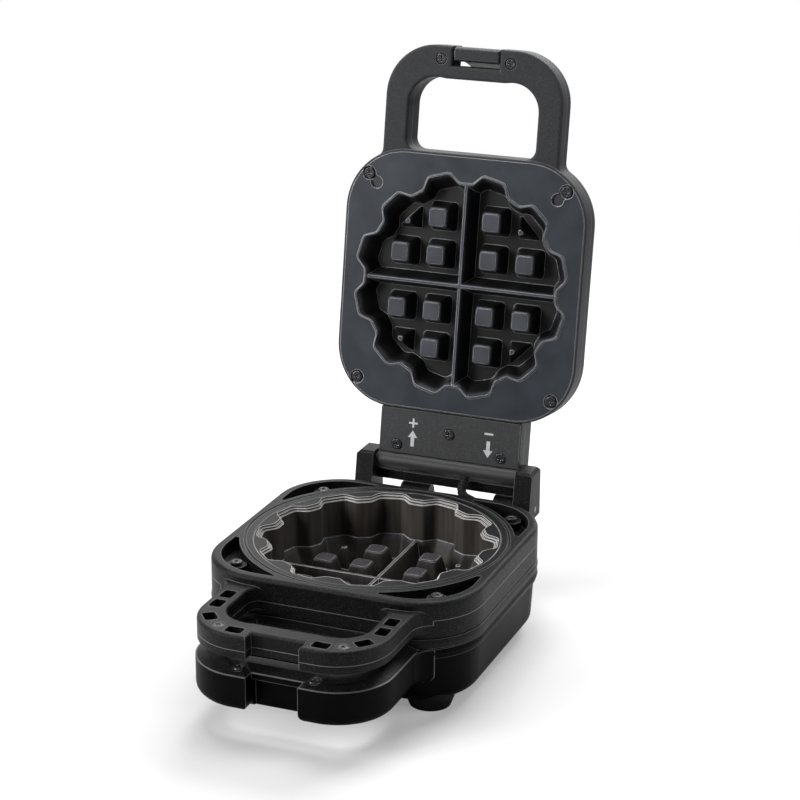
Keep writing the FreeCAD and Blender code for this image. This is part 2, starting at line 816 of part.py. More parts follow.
def make_bottom_shell():
    over = size("rim_overhang")
    rim = loft([tier_square(over, Z_RIM), tier_square(0.0, (Z_RIM + Z_SEAM) / 2), tier_square(over / 2, Z_SEAM)])
    handle = base_handle(0.0, Z_BASE_HANDLE_LOW, Z_COVER_SEAT)
    hollow = tub_solid(WALL, Z_TUB + WALL, size("tub_round") - WALL, Z_SEAM)
    core = in_front(base_handle(WALL, Z_BASE_HANDLE_LOW + WALL, Z_COVER_SEAT), -TIER_Y)
    shell = TUB.fuse([rim, handle]).cut([hollow, core])
    room = tub_solid(WALL / 2, Z_TUB, size("tub_round"), Z_PLATE_BACK)
    bosses = [rod(HEAD_R + 1, x, y, Z_TUB, Z_PLATE_BACK).common(room) for x, y in PLATE_SCREWS]
    stands = [rod(size("stand_diameter") / 2, x, y, Z_TUB + WALL / 2, Z_REFLECTOR) for x, y in STANDS]
    pegs = [rod(HEAD_R + 2, x, y, Z_TUB + WALL / 2, Z_TUB + size("foot_screw_length")) for x, y in FEET]
    posts = [rod(size("handle_boss_diameter") / 2, x, y, Z_BASE_HANDLE_LOW + WALL / 2, Z_COVER_SEAT)
             for x, y in COVER_SCREWS]
    catch_back = size("notch_depth") + size("ledge_depth") - REACH
    catch = block(-NOTCH - WALL, size("notch_depth") - REACH, Z_BASE_HANDLE_LOW, NOTCH + WALL, catch_back + WALL,
                  Z_COVER_SEAT).common(handle)
    shell = shell.fuse(bosses + stands + pegs + posts + [catch])
    shell = shell.cut(block(-NOTCH, -REACH, Z_BASE_HANDLE_LOW - 1, NOTCH, catch_back, Z_LEDGE))
    shell = drilled(shell, PLATE_SCREWS, HOLE_R, Z_PLATE_BACK - size("plate_screw_length"), Z_PLATE_BACK)
    shell = drilled(shell, FEET, HOLE_R, Z_TUB, Z_TUB + size("foot_screw_length") - WALL / 2)
    shell = drilled(shell, COVER_SCREWS, HOLE_R, Z_COVER_SEAT - size("base_handle_screw_length"), Z_COVER_SEAT)
    return shell.cut(gland_solid(size("gland_diameter") / 2 + size("pin_fit"), TIER_Y / 2, FAR))


feature("bottom_shell", make_bottom_shell(), "base")


# Base: band above the rim, with the two rear knuckles.
KNUCKLES = [(size("left_knuckle_place"), size("left_knuckle_width")),
            (size("right_knuckle_place"), size("right_knuckle_width"))]


def make_base_frame():
    over = size("rim_overhang") / 2
    frame = loft([tier_square(over, Z_FRAME), tier_square(0.0, (Z_FRAME + Z_FRAME_TOP) / 2),
                  tier_square(over, Z_FRAME_TOP)])
    step = size("tub_inset") + WALL + FIT
    low = Z_FRAME - size("skirt_height")
    skirt = prism(tier_square(step), low, Z_FRAME)
    skirt = skirt.cut(prism(tier_square(step + size("skirt_thick")), low, Z_FRAME))
    frame = frame.fuse(skirt)
    radius = size("knuckle_diameter") / 2
    for x, width in KNUCKLES:
        left = x - width / 2
        right = x + width / 2
        arm = block(left, TIER_Y - WALL, Z_FRAME, right, HINGE_Y + radius, Z_FRAME_TOP)
        web = block(left, HINGE_Y - radius, Z_FRAME_TOP, right, HINGE_Y + radius, Z_RING_AXIS)
        frame = frame.fuse([arm, web, axle(radius, left, right, HINGE_Y, Z_RING_AXIS)])
    frame = frame.cut([rod(BORE_R, 0, 0, low, FAR), plate_seat(PLATE_X, PLATE_X, low, Z_PLATE),
                       axle(PIN_HOLE_R, -FAR, FAR, HINGE_Y, Z_RING_AXIS)])
    return frame.cut([rod(HEAD_R + 1 + FIT, x, y, low, Z_PLATE + PLATE_HEAD + FIT) for x, y in PLATE_SCREWS])


feature("base_frame", make_base_frame(), "base")


# Base: lid of the lower handle.
def make_handle_cover():
    fit = size("tier_gap")
    crown = loft([lifted(tier_plan(fit), Z_COVER_SEAT), lifted(tier_plan(size("handle_cover_bevel")), Z_BASE_HANDLE)])
    cover = in_front(crown, ROOT_Y)
    side = size("handle_width") / 2
    cover = cover.cut([prism(tier_square(-fit), Z_COVER_SEAT, Z_BASE_HANDLE),
                       prism(grip(GRIP_START, fit), Z_COVER_SEAT, Z_BASE_HANDLE),
                       block(side, -FAR, 0, FAR, FAR, FAR), block(-FAR, -FAR, 0, -side, FAR, FAR)])
    cover = drilled(cover, COVER_SCREWS, HEAD_HOLE_R, Z_COVER_SCREW, FAR)
    return drilled(cover, COVER_SCREWS, HOLE_R, 0, FAR)


feature("base_handle_cover", make_handle_cover(), "base")
screws("base_handle_screws", "base", COVER_SCREWS, Z_COVER_SCREW + HEAD, size("base_handle_screw_length") + HEAD)


# Base: feet, hollow below for their screws.
def foot(x, y):
    top = size("foot_top_diameter") / 2
    cone = Part.makeCone(size("foot_bottom_diameter") / 2, top, Z_TUB, V(x, y, 0))
    pad = cone.fuse(rod(top, x, y, Z_TUB, Z_TUB + size("tub_round"))).cut(TUB)
    seat = size("foot_screw_sink") + HEAD
    return pad.cut([rod(size("foot_bore") / 2, x, y, 0, seat), rod(HOLE_R, x, y, 0, FAR)])


feet = doc.addObject("Part::Feature", "feet")
feet.Shape = Part.makeCompound([foot(x, y) for x, y in FEET])
add("feet", feet, "base")
screws("foot_screws", "base", FEET, size("foot_screw_sink"), size("foot_screw_length"), down=True)


# Base: cast plate, heater, reflector, thermostat and wiring.
lower_plate = waffle_plate(PLATE_X, PLATE_X, [])
lower_plate.translate(V(0, 0, Z_PLATE))
feature("lower_plate", lower_plate, "base")
screws("lower_plate_screws", "base", PLATE_SCREWS, Z_PLATE + PLATE_HEAD, size("plate_screw_length"))


def heater(label, body, place):
    """Bent tubular heater with a straight lead pin at each end, the gap towards the rear."""
    tube = primitive("Part::Torus", label + "_tube", Radius1="sizes.heater_radius",
                     Radius2="sizes.heater_tube / 2", Angle3="sizes.heater_sweep")
    members = [tube]
    for end, degrees in (("start", 0.0), ("finish", size("heater_sweep"))):
        pin = primitive("Part::Cylinder", label + "_" + end, Radius="sizes.lead_pin_diameter / 2",
                        Height="sizes.lead_pin_length")
        spot = polar(size("heater_radius"), degrees)
        pin.Placement = FreeCAD.Placement(spot, FreeCAD.Rotation(V(1, 0, 0), 180))
        members.append(pin)
    whole = doc.addObject("Part::MultiFuse", label)
    whole.Shapes = members
    turn = FreeCAD.Rotation(V(0, 0, 1), 90 + (360 - size("heater_sweep")) / 2)
    return add(label, whole, body, place.multiply(FreeCAD.Placement(V(0, 0, 0), turn)))


HALF_GAP = (360 - size("heater_sweep")) / 2
LEAD_PINS = [(polar(size("heater_radius"), 90 + side * HALF_GAP).x, polar(size("heater_radius"), 90 + HALF_GAP).y)
             for side in (1, -1)]


def reflector(low):
    """Sheet behind a heater, holed for the lead pins and the thermostat."""
    half = size("reflector_width") / 2
    high = low + size("reflector_thick")
    sheet_metal = prism(square(half, half, size("reflector_corner")), low, high)
    sheet_metal = drilled(sheet_metal, [(0, 0)], size("reflector_hole") / 2, low, high)
    return drilled(sheet_metal, LEAD_PINS, size("lead_pin_diameter"), low, high)


heater("lower_heater", "base", FreeCAD.Placement(V(0, 0, Z_HEATER), FreeCAD.Rotation()))
feature("lower_reflector", reflector(Z_REFLECTOR), "base")

puck = primitive("Part::Cylinder", "thermostat_puck", Radius="sizes.thermostat_diameter / 2",
                 Height="sizes.thermostat_height")
spike = primitive("Part::Cylinder", "thermostat_spike", Radius="sizes.thermostat_stud / 2",
                  Height="sizes.thermostat_height + sizes.thermostat_stud")
thermostat = doc.addObject("Part::MultiFuse", "thermostat")
thermostat.Shapes = [puck, spike]
upside_down = FreeCAD.Rotation(V(1, 0, 0), 180)
add("thermostat", thermostat, "base", FreeCAD.Placement(V(0, 0, Z_BOWL_BACK), upside_down))

strip = primitive("Part::Box", "terminal_strip", Length="sizes.terminal_length", Width="sizes.terminal_width",
                  Height="sizes.terminal_height")
slots = []
for number in (1, 3, 5):
    slot = primitive("Part::Cylinder", "terminal_hole_%d" % number, Radius="sizes.terminal_bore / 2",
                     Height="sizes.terminal_width")
    slot.setExpression("Placement.Base.x", "sizes.terminal_length * %d / 6" % number)
    slot.setExpression("Placement.Base.y", "sizes.terminal_width")
    slot.setExpression("Placement.Base.z", "sizes.terminal_height / 2")
    slot.Placement.Rotation = FreeCAD.Rotation(V(1, 0, 0), 90)
    slots.append(slot)
holes = doc.addObject("Part::MultiFuse", "terminal_holes")
holes.Shapes = slots
terminal = doc.addObject("Part::Cut", "terminal_block")
terminal.Base = strip
terminal.Tool = holes
terminal_spot = V(size("terminal_x") - size("terminal_length") / 2, size("terminal_y") - size("terminal_width") / 2,
                  Z_TUB + WALL)
add("terminal_block", terminal, "base", FreeCAD.Placement(terminal_spot, FreeCAD.Rotation()))

gland = gland_solid(size("gland_flange") / 2, TIER_Y / 2, TIER_Y).cut(TUB)
gland = gland.common(gland_solid(FAR, 0, TIER_Y - size("tub_inset") + size("gland_stand")))
gland_inner = TIER_Y - size("tub_inset") - size("tub_draft") - WALL - size("gland_inner")
gland = gland.fuse(gland_solid(size("gland_diameter") / 2, gland_inner, TIER_Y - size("tub_inset")))
feature("cord_gland", gland.cut(gland_solid(size("gland_bore") / 2, 0, FAR)), "base")


def pin(label, body, diameter, half_length, y, level):
    """Round pin across the object, bound to the sheet."""
    obj = primitive("Part::Cylinder", label, Radius=diameter + " / 2", Height="2 * (" + half_length + ")")
    across = FreeCAD.Rotation(V(0, 1, 0), 90)
    return add(label, obj, body, FreeCAD.Placement(V(-calc(half_length), y, level), across))


pin("ring_hinge_pin", "base", "sizes.pin_diameter", "sizes.post_spacing / 2 + sizes.post_width - sizes.pin_inset",
    HINGE_Y, Z_RING_AXIS)


# Ring tier: two shells with a stepped parting line, clamped round the casting's flange.
def ring_square(inset):
    return tier_square(size("ring_inset") + inset)


def ring_plan(inset):
    return tier_plan(size("ring_inset") + inset, size("handle_step"))


def make_ring_upper():
    edge = size("ring_inset")
    body = rounded_stack(ring_square, size("ring_top_round"), Z_SPLIT, Z_TOP, up=False)
    handle = rounded_stack(ring_plan, size("grip_round"), Z_HANDLE_SPLIT, Z_HANDLE, up=False)
    shell = body.fuse(in_front(handle, ROOT_Y))
    pocket_low = Z_TOP - size("crescent_depth")
    pocket = prism(tier_square(edge + size("crescent_margin")), pocket_low, Z_TOP)
    pocket = pocket.cut(rod(size("crescent_radius"), 0, 0, pocket_low, Z_TOP))
    reach = size("crescent_reach")
    pocket = pocket.cut([block(-reach, -FAR, 0, reach, FAR, FAR), block(-FAR, -reach, 0, FAR, reach, FAR)])
    boss_top = Z_TOP - size("boss_drop")
    pocket = pocket.cut([rod(size("boss_diameter") / 2, x, y, pocket_low, boss_top) for x, y in RING_SCREWS])
    lip = size("lip_radius")
    groove_low = Z_TOP - size("lip_groove_depth")
    groove = rod(lip + size("lip_groove_width"), 0, 0, groove_low, Z_TOP).cut(rod(lip, 0, 0, groove_low, Z_TOP))
    flange_low = Z_SPLIT - size("casting_flange_thick")
    shell = shell.cut([pocket, groove, rod(BORE_R, 0, 0, 0, FAR), rod(FLANGE_SEAT_R, 0, 0, flange_low, Z_SPLIT),
                       prism(grip(GRIP_START), 0, FAR), eased_grip(GRIP_START, Z_HANDLE, 1)])
    shell = shell.cut(handle_cores())
    shell = drilled(shell, RING_SCREWS + RING_HANDLE_SCREWS, HOLE_R, 0, FAR)
    shell = drilled(shell, RING_HANDLE_SCREWS, HEAD_HOLE_R, Z_HANDLE - HEAD, FAR)
    hole = size("sleeve_root") / 2 + size("sleeve_fit")
    wall = TIER_Y - edge - size("sleeve_seat")
    return shell.cut(Part.makeCylinder(hole, FAR, V(size("sleeve_x"), wall, Z_SLEEVE), V(0, 1, 0)))


def handle_cores():
    """Cored pockets along the handle's arms, round its front corners and beside its notch."""
    wide = size("core_width") / 2
    long = size("core_length") / 2
    inside = size("handle_step") + size("ring_inset")
    middle = (size("grip_width") / 2 + size("handle_width") / 2 - inside) / 2
    front = (size("grip_end") + REACH - inside) / 2
    turn = size("core_corner_turn")
    spots = [(middle, -size("core_first"), 0.0), (middle, -size("core_first") - size("core_pitch"), 0.0),
             (middle - wide, -size("core_corner"), -turn), (size("core_front"), -front - 1, 90.0)]
    cores = []
    for x, y, degrees in spots:
        for side in (1, -1):
            core = prism(rounded([(wide, long), (-wide, long), (-wide, -long), (wide, -long)],
                                 [size("core_round")] * 4), Z_HANDLE - size("core_depth"), Z_HANDLE)
            core.rotate(V(0, 0, 0), V(0, 0, 1), side * degrees)
            core.translate(V(side * x, y, 0))
            cores.append(core)
    return cores


def make_ring_lower():
    curve = size("ring_low_round")
    body = rounded_stack(ring_square, curve, Z_RING, Z_SPLIT)
    body = body.cut(block(-FAR, -FAR, Z_HANDLE_SPLIT, FAR, ROOT_Y, FAR))
    handle = rounded_stack(ring_plan, curve, Z_HANDLE_LOW, Z_HANDLE_SPLIT)
    shell = body.fuse(in_front(handle, ROOT_Y))
    arm_fit = size("slide_fit")
    arm_top = Z_RING + size("post_arm_height") + arm_fit
    arm_front = TIER_Y - size("post_arm_seat") - arm_fit
    flange_low = Z_SPLIT - size("casting_flange_thick")
    shell = shell.cut([prism(grip(GRIP_START), 0, FAR), rod(BORE_R, 0, 0, 0, FAR),
                       rod(FLANGE_SEAT_R, 0, 0, flange_low, FAR),
                       block(POST_IN - arm_fit, arm_front, 0, POST_OUT + arm_fit, FAR, arm_top),
                       block(-POST_OUT - arm_fit, arm_front, 0, arm_fit - POST_IN, FAR, arm_top)])
    shell = drilled(shell, RING_SCREWS, HOLE_R, Z_TOP - size("boss_drop") - size("ring_screw_length"), FAR)
    return drilled(shell, RING_HANDLE_SCREWS, HOLE_R, Z_HANDLE - size("ring_handle_screw_length"), FAR)


def make_pan_ring():
    low = Z_RING - size("casting_sink")
    high = Z_TOP - size("casting_drop")
    flange = size("casting_radius") + size("casting_flange")
    casting = rod(size("casting_radius"), 0, 0, low, high)
    casting = casting.fuse(rod(flange, 0, 0, Z_SPLIT - size("casting_flange_thick"), Z_SPLIT))
    for step in range(3):
        wide = step * size("step_width")
        floor = low if step == 0 else high - (3 - step) * size("step_height")
        casting = casting.cut(prism(scallop(size("dip_radius") + wide, size("lobe_radius") + wide, 0), floor, high))
    return casting


feature("ring_upper_shell", make_ring_upper(), "ring")
feature("ring_lower_shell", make_ring_lower(), "ring")
feature("pan_ring", make_pan_ring(), "ring")
screws("ring_corner_screws", "ring", RING_SCREWS, Z_TOP - size("boss_drop") + HEAD, size("ring_screw_length"))
screws("ring_handle_screws", "ring", RING_HANDLE_SCREWS, Z_HANDLE, size("ring_handle_screw_length"))


# Rear hinge: posts on the ring tier with a channel for the slide blocks, and the bridge between them.
AXIS_UP = ("(sizes.ring_lower_height + sizes.ring_upper_height + sizes.lid_gap + sizes.hinge_rise)")
HINGE_BASE = FreeCAD.Placement(V(0, HINGE_Y, Z_RING), FreeCAD.Rotation())


def hinge_post(label, side):
    """Post with a slanted front, a chamfered outer top and a channel on its inner face."""
    body = doc.addObject("PartDesign::Body", label)
    near = "%d * sizes.post_spacing / 2" % side
    far = "%d * (sizes.post_spacing / 2 + sizes.post_width)" % side
    shoulder = "%d * (sizes.post_spacing / 2 + sizes.post_width - sizes.post_chamfer)" % side
    top = AXIS_UP + " + sizes.post_rise"
    ease = top + " - sizes.post_bevel"
    front = "sizes.post_slant - sizes.post_front"
    profile = [("-sizes.post_front", "0"), ("sizes.post_back", "0"), ("sizes.post_back", ease),
               ("sizes.post_back - sizes.post_bevel", top), (front + " + sizes.post_bevel", top), (front, ease)]
    column = padded(body, label + "_column", "YZ_Plane", profile, "sizes.post_width", near)
    column.Reversed = side < 0
    depth = "2 * (sizes.post_front + sizes.post_back)"
    corner = [(far, top + " - sizes.post_chamfer"), (far, top), (shoulder, top)]
    pocketed(body, label + "_chamfer", "XZ_Plane", corner, depth)
    tip = "sizes.tier_length / 2 - sizes.post_arm_seat - sizes.hinge_reach"
    padded(body, label + "_arm", "XY_Plane", rectangle(near, tip, far, "0"), "sizes.post_arm_height")
    deep = "%d * (sizes.post_spacing / 2 + sizes.block_thick + 2 * sizes.slide_fit)" % side
    low = AXIS_UP + " - sizes.block_height / 2 - sizes.slide_fit"
    high = AXIS_UP + " + sizes.block_height / 2 + sizes.slide_fit + sizes.slide_travel"
    pocketed(body, label + "_channel", "XZ_Plane", rectangle("0", low, deep, high),
             "sizes.block_height + 2 * sizes.slide_fit")
    bored_through(body, label + "_bore", [("0", "sizes.ring_axis_rise")], "sizes.pin_diameter / 2 + sizes.pin_fit")
    return add(label, body, "ring", HINGE_BASE)


def bored_through(body, name, spots, radius):
    """Round holes along X right through a body."""
    pocket = body.newObject("PartDesign::Pocket", name)
    pocket.Profile = circles(body, name + "_circles", "YZ_Plane", spots, radius)
    pocket.Type = 1
    pocket.Midplane = True
    body.Document.recompute()
    return pocket


def slide_block(label, side):
    body = doc.addObject("PartDesign::Body", label)
    near = "%d * (sizes.post_spacing / 2 + sizes.slide_fit)" % side
    far = "%d * (sizes.post_spacing / 2 + sizes.slide_fit + sizes.block_thick)" % side
    half = "sizes.block_height / 2"
    solid = padded(body, label + "_cube", "XZ_Plane", rectangle(near, "-" + half, far, half), "sizes.block_height")
    solid.Midplane = True
    bored_through(body, label + "_bore", [("0", "0")], "sizes.pin_diameter / 2 + sizes.pin_fit")
    return add(label, body, "carriage", FreeCAD.Placement(V(0, HINGE_Y, Z_HINGE), FreeCAD.Rotation()))


hinge_post("hinge_post_left", -1)
hinge_post("hinge_post_right", 1)
slide_block("slide_block_left", -1)
slide_block("slide_block_right", 1)
pin("hinge_pin", "carriage", "sizes.pin_diameter",
    "sizes.post_spacing / 2 + sizes.slide_fit + sizes.block_thick - sizes.pin_inset", HINGE_Y, Z_HINGE)

bridge = doc.addObject("PartDesign::Body", "hinge_crossbar")
back = "sizes.post_back"
bridge_top = AXIS_UP + " - sizes.barrel_diameter / 2 - sizes.bridge_clearance"
bar = padded(bridge, "hinge_crossbar_bar", "YZ_Plane",
             rectangle(back + " - sizes.bridge_depth", bridge_top + " - sizes.bridge_height", back, bridge_top),
             "sizes.post_spacing")
bar.Midplane = True
add("hinge_crossbar", bridge, "ring", HINGE_BASE)


# Ribbed sleeve that carries the heater's leads from the ring tier up to the barrel.
def sleeve_track():
    """Points and directions along the sleeve: straight out of the wall, a bend, straight into the barrel."""
    straight = size("sleeve_crest")
    start = V(size("sleeve_x"), TIER_Y - size("ring_inset"), Z_SLEEVE)
    out = V(0, 1, 0)
    rise = math.radians(size("sleeve_rise"))
    into = V(0, math.cos(rise), math.sin(rise))
    finish = V(size("sleeve_barrel_x"), HINGE_Y, Z_HINGE) - into * (BARREL_R + size("sleeve_fit"))
    near = start + out * straight
    far = finish - into * straight
    pull = near.distanceToPoint(far) * size("sleeve_pull")
    curve = Part.BezierCurve()
    curve.setPoles([near, near + out * pull, far - into * pull, far])
    return start, out, near, curve, far, finish, into


def sleeve_circle(centre, along, radius):
    """Circle across the sleeve whose own X axis stays level."""
    level = V(1, 0, 0) - along * along.x
    turn = FreeCAD.Rotation(level, along.cross(level), along, "ZXY")
    ring = Part.Wire(Part.makeCircle(radius))
    ring.Placement = FreeCAD.Placement(centre, turn)
    return ring


def make_sleeve():
    start, out, near, curve, far, finish, into = sleeve_track()
    root = size("sleeve_root") / 2
    crest = size("sleeve_crest") / 2
    bore = size("sleeve_bore") / 2
    seat = start - out * (size("sleeve_seat") - size("sleeve_fit"))
    bend = curve.length()
    runs = [near.distanceToPoint(start), bend, finish.distanceToPoint(far)]
    total = sum(runs)
    pitch = total / size("sleeve_ribs")

    def station(along):
        if along <= runs[0]:
            return start + out * along, out
        if along >= runs[0] + bend:
            return finish - into * (total - along), into
        here = curve.parameterAtDistance(along - runs[0])
        return curve.value(here), V(*curve.tangent(here)[0])

    outer = [sleeve_circle(seat, out, root)]
    inner = [sleeve_circle(seat, out, bore)]
    for rib in range(int(size("sleeve_ribs"))):
        for share, radius in ((0.1, root), (0.3, crest), (0.7, crest), (0.9, root)):
            centre, along = station((rib + share) * pitch)
            outer.append(sleeve_circle(centre, along, radius))
        inner.append(sleeve_circle(centre, along, bore))
    outer.append(sleeve_circle(finish, into, root))
    inner.append(sleeve_circle(finish, into, bore))
    return loft(outer).cut(loft(inner))


sleeve = doc.addObject("Part::Feature", "lead_conduit")
sleeve.Shape = make_sleeve()
add("lead_conduit", sleeve, "ring")


# Lid, built shut; its placement opens it about the barrel.
def neck(low, high):
    return block(-BARREL_X, LID_Y - WALL - WALL, low, BARREL_X, HINGE_Y, high)


LID_OPENING_X = PLATE_X + FIT - size("plate_ledge")
LID_OPENING_Y = PLATE_Y + FIT - size("plate_ledge")
LID_OPENING_R = PLATE_R + FIT - size("plate_ledge")


def lid_opening(inset):
    return square(LID_OPENING_X - inset, LID_OPENING_Y - inset, LID_OPENING_R - inset)


def make_lid_frame():
    handle = rounded_stack(lid_plan, size("grip_round"), Z_LID_HANDLE, Z_LID_SPLIT)
    handle = in_front(handle, size("handle_overlap") - LID_Y)
    frame = rounded_stack(lid_square, size("lid_edge_round"), Z_LID, Z_LID_SPLIT)
    frame = frame.fuse([handle, neck(Z_NECK, Z_LID_SPLIT)])
    plate_back = Z_LID + size("plate_thick")
    frame = frame.cut([prism(grip(LID_Y), 0, FAR), eased_grip(LID_Y, Z_LID_HANDLE, -1),
                       plate_seat(PLATE_X, PLATE_Y, Z_LID, plate_back), prism(lid_opening(0.0), Z_LID, Z_LID_SPLIT),
                       axle(BARREL_R + size("pin_fit"), -FAR, FAR, HINGE_Y, Z_HINGE),
                       axle(size("latch_pin_diameter") / 2 + size("pin_fit"), -LATCH_PIN_X, LATCH_PIN_X, LATCH_Y,
                            Z_LATCH)])
    frame = drilled(frame, PLATE_SCREWS, HOLE_R, Z_LID, Z_LID + size("plate_screw_length") + 1)
    frame = drilled(frame, PANEL_SCREWS, HOLE_R, Z_LID, Z_PANEL + size("panel_screw_length"))
    frame = drilled(frame, LID_HANDLE_SCREWS, HOLE_R, Z_LID, Z_LID_SPLIT)
    return drilled(frame, LID_HANDLE_SCREWS, HEAD_HOLE_R, Z_LID, Z_LID_HANDLE + HEAD + size("screw_recess"))


LATCH_PIN_X = NOTCH + size("latch_pin_seat")


def make_lid_cover():
    cover = rounded_stack(lid_plan, size("lid_handle_round"), Z_LID_SPLIT, Z_LID_BACK, up=False)
    inset = size("lid_dome_inset")
    dome = rounded_stack(lambda more: lid_square(inset + more), size("lid_dome_round"), Z_LID_SPLIT, Z_DOME, up=False)
    hollow = rounded_stack(lid_opening, size("lid_dome_round") - WALL, Z_LID_SPLIT, Z_DOME - WALL, up=False)
    cover = cover.fuse([dome, neck(Z_LID_SPLIT, Z_LID_BACK)]).cut([hollow, prism(grip(LID_Y), 0, FAR)])
    back = Z_LID_REFLECTOR
    cover = cover.fuse([rod(size("stand_diameter") / 2, x, y, back, Z_DOME - WALL / 2) for x, y in STANDS])
    return drilled(cover, LID_HANDLE_SCREWS, HOLE_R, Z_LID_SPLIT, Z_LID_HANDLE + size("lid_handle_screw_length") + 2)


feature("lid_frame", make_lid_frame(), "lid")
feature("lid_cover", make_lid_cover(), "lid")
KEYHOLES = [spot for spot in PLATE_SCREWS if spot[1] > 0]
upper_plate = waffle_plate(PLATE_X, PLATE_Y, KEYHOLES)
upper_plate.rotate(V(0, 0, 0), V(1, 0, 0), 180)
upper_plate.translate(V(0, 0, Z_LID))
feature("upper_plate", upper_plate, "lid")
screws("upper_plate_screws", "lid", PLATE_SCREWS, Z_LID - PLATE_HEAD, size("plate_screw_length"), down=True)
heater("upper_heater", "lid", FreeCAD.Placement(V(0, 0, Z_LID_HEATER), FreeCAD.Rotation(V(0, 1, 0), 180)))
feature("upper_reflector", reflector(Z_LID_REFLECTOR - size("reflector_thick")), "lid")
fuse_link = primitive("Part::Cylinder", "thermal_fuse", Radius="sizes.fuse_diameter / 2", Height="sizes.fuse_length")
fuse_spot = V(-size("fuse_length") / 2, size("fuse_place"), Z_LID_REFLECTOR + size("fuse_diameter") / 2)
add("thermal_fuse", fuse_link, "lid", FreeCAD.Placement(fuse_spot, FreeCAD.Rotation(V(0, 1, 0), 90)))
bored("hinge_barrel", "lid", FreeCAD.Placement(V(-BARREL_X, HINGE_Y, Z_HINGE), FreeCAD.Rotation(V(0, 1, 0), 90)),
      "sizes.barrel_diameter / 2", "sizes.pin_diameter / 2 + sizes.pin_fit", "sizes.barrel_length")

panel = doc.addObject("PartDesign::Body", "hinge_panel")
panel_side = "(sizes.barrel_length / 2 - sizes.panel_edge)"
padded(panel, "hinge_panel_sheet", "XY_Plane",
       rectangle("-" + panel_side, "sizes.lid_length / 2 + sizes.panel_edge", panel_side,
                 "sizes.hinge_reach - sizes.barrel_diameter / 2 - sizes.panel_edge"), "sizes.panel_thick")
PANEL_SPOTS = [("sizes.panel_screw_spread / 2", "sizes.panel_screw_place"),
               ("-sizes.panel_screw_spread / 2", "sizes.panel_screw_place"), ("0", "sizes.panel_screw_middle")]
doc.recompute()
panel_holes = panel.newObject("PartDesign::Pocket", "hinge_panel_holes")
panel_holes.Profile = circles(panel, "hinge_panel_circles", "XY_Plane", PANEL_SPOTS,
                              "sizes.screw_shank / 2 + sizes.screw_fit")
panel_holes.Type = 1
panel_holes.Midplane = True
panel_wells = panel.newObject("PartDesign::Pocket", "hinge_panel_wells")
panel_wells.Profile = circles(panel, "hinge_panel_well_circles", "XY_Plane", PANEL_SPOTS,
                              "sizes.screw_head / 2 + sizes.screw_recess")
panel_wells.setExpression("Length", "sizes.panel_well")
panel_wells.Reversed = True
add("hinge_panel", panel, "lid", FreeCAD.Placement(V(0, 0, Z_PANEL), FreeCAD.Rotation()))
screws("hinge_panel_screws", "lid", PANEL_SCREWS, Z_PANEL + size("panel_well") - HEAD, size("panel_screw_length"),
       down=True)
screws("lid_handle_screws", "lid", LID_HANDLE_SCREWS, Z_LID_HANDLE + size("screw_recess"),
       size("lid_handle_screw_length"), down=True)
pin("latch_pin", "lid", "sizes.latch_pin_diameter", "sizes.notch_width / 2 + sizes.latch_pin_seat - sizes.pin_inset",
    LATCH_Y, Z_LATCH)

# Latch: a plate with a hooked end that swings from behind the lid's handle to under the base's ledge.
latch = doc.addObject("PartDesign::Body", "latch_hook")
arm = "sizes.latch_arm_thick / 2"
reach = ("(sizes.tier_gap + sizes.ring_lower_height + sizes.ring_upper_height + sizes.lid_gap"
         " + sizes.base_handle_drop + sizes.handle_cover_thick + sizes.ledge_height + sizes.slide_travel"
         " + sizes.latch_slack + sizes.latch_hook_thick + sizes.latch_pivot_rise)")
nose = "-" + arm + " - sizes.latch_hook_depth"
shank = reach + " - sizes.latch_hook_thick"
profile = [("-" + arm, "0"), (arm, "0"), (arm, reach), (nose, reach), (nose, shank), ("-" + arm, shank)]
latch_plate = padded(latch, "latch_hook_plate", "YZ_Plane", profile, "sizes.latch_width")
latch_plate.Midplane = True
latch_root = latch.newObject("PartDesign::Pad", "latch_hook_root")
latch_root.Profile = circles(latch, "latch_hook_circle", "YZ_Plane", [("0", "0")], "sizes.latch_root / 2")
latch_root.setExpression("Length", "sizes.latch_width")
latch_root.Midplane = True
bored_through(latch, "latch_hook_bore", [("0", "0")], "sizes.latch_pin_diameter / 2 + sizes.pin_fit")
lean = FreeCAD.Rotation(V(1, 0, 0), -size("latch_lean"))
add("latch_hook", latch, "latch", FreeCAD.Placement(V(0, LATCH_Y, Z_LATCH), lean))

# Open the lid about its barrel, then centre the whole object front to back.
doc.recompute()
hinge_point = V(0, HINGE_Y, Z_HINGE)
opening = FreeCAD.Placement(V(0, 0, 0), FreeCAD.Rotation(V(1, 0, 0), -size("lid_open")), hinge_point)
for piece in pieces:
    if motion[piece.Label] in ("lid", "latch"):
        piece.Placement = opening.multiply(piece.Placement)
doc.recompute()
box = FreeCAD.BoundBox()
for piece in pieces:
    box.add(piece.Shape.optimalBoundingBox(False))
for piece in pieces:
    shift = FreeCAD.Placement(V(0, -box.Center.y, 0), FreeCAD.Rotation())
    piece.Placement = shift.multiply(piece.Placement)
doc.recompute()

# Check every piece, then write one file for each.
for obj in doc.Objects:
    if "Invalid" in obj.State or "Error" in obj.State:
        raise RuntimeError("%s: %s" % (obj.Name, obj.State))
os.makedirs("parts", exist_ok=True)
for piece in pieces:
    shape = piece.Shape
    if shape.isNull() or not shape.isValid() or shape.Volume <= 0:
        raise RuntimeError("%s has no valid solid" % piece.Label)
    shape.exportStep("parts/%s.step" % piece.Label)
    print("%-20s solids %d  volume %.0f mm3" % (piece.Label, len(shape.Solids), shape.Volume))
print("box", box.XLength, box.YLength, box.ZLength, "lowest", box.ZMin, "shift in y", -box.Center.y)
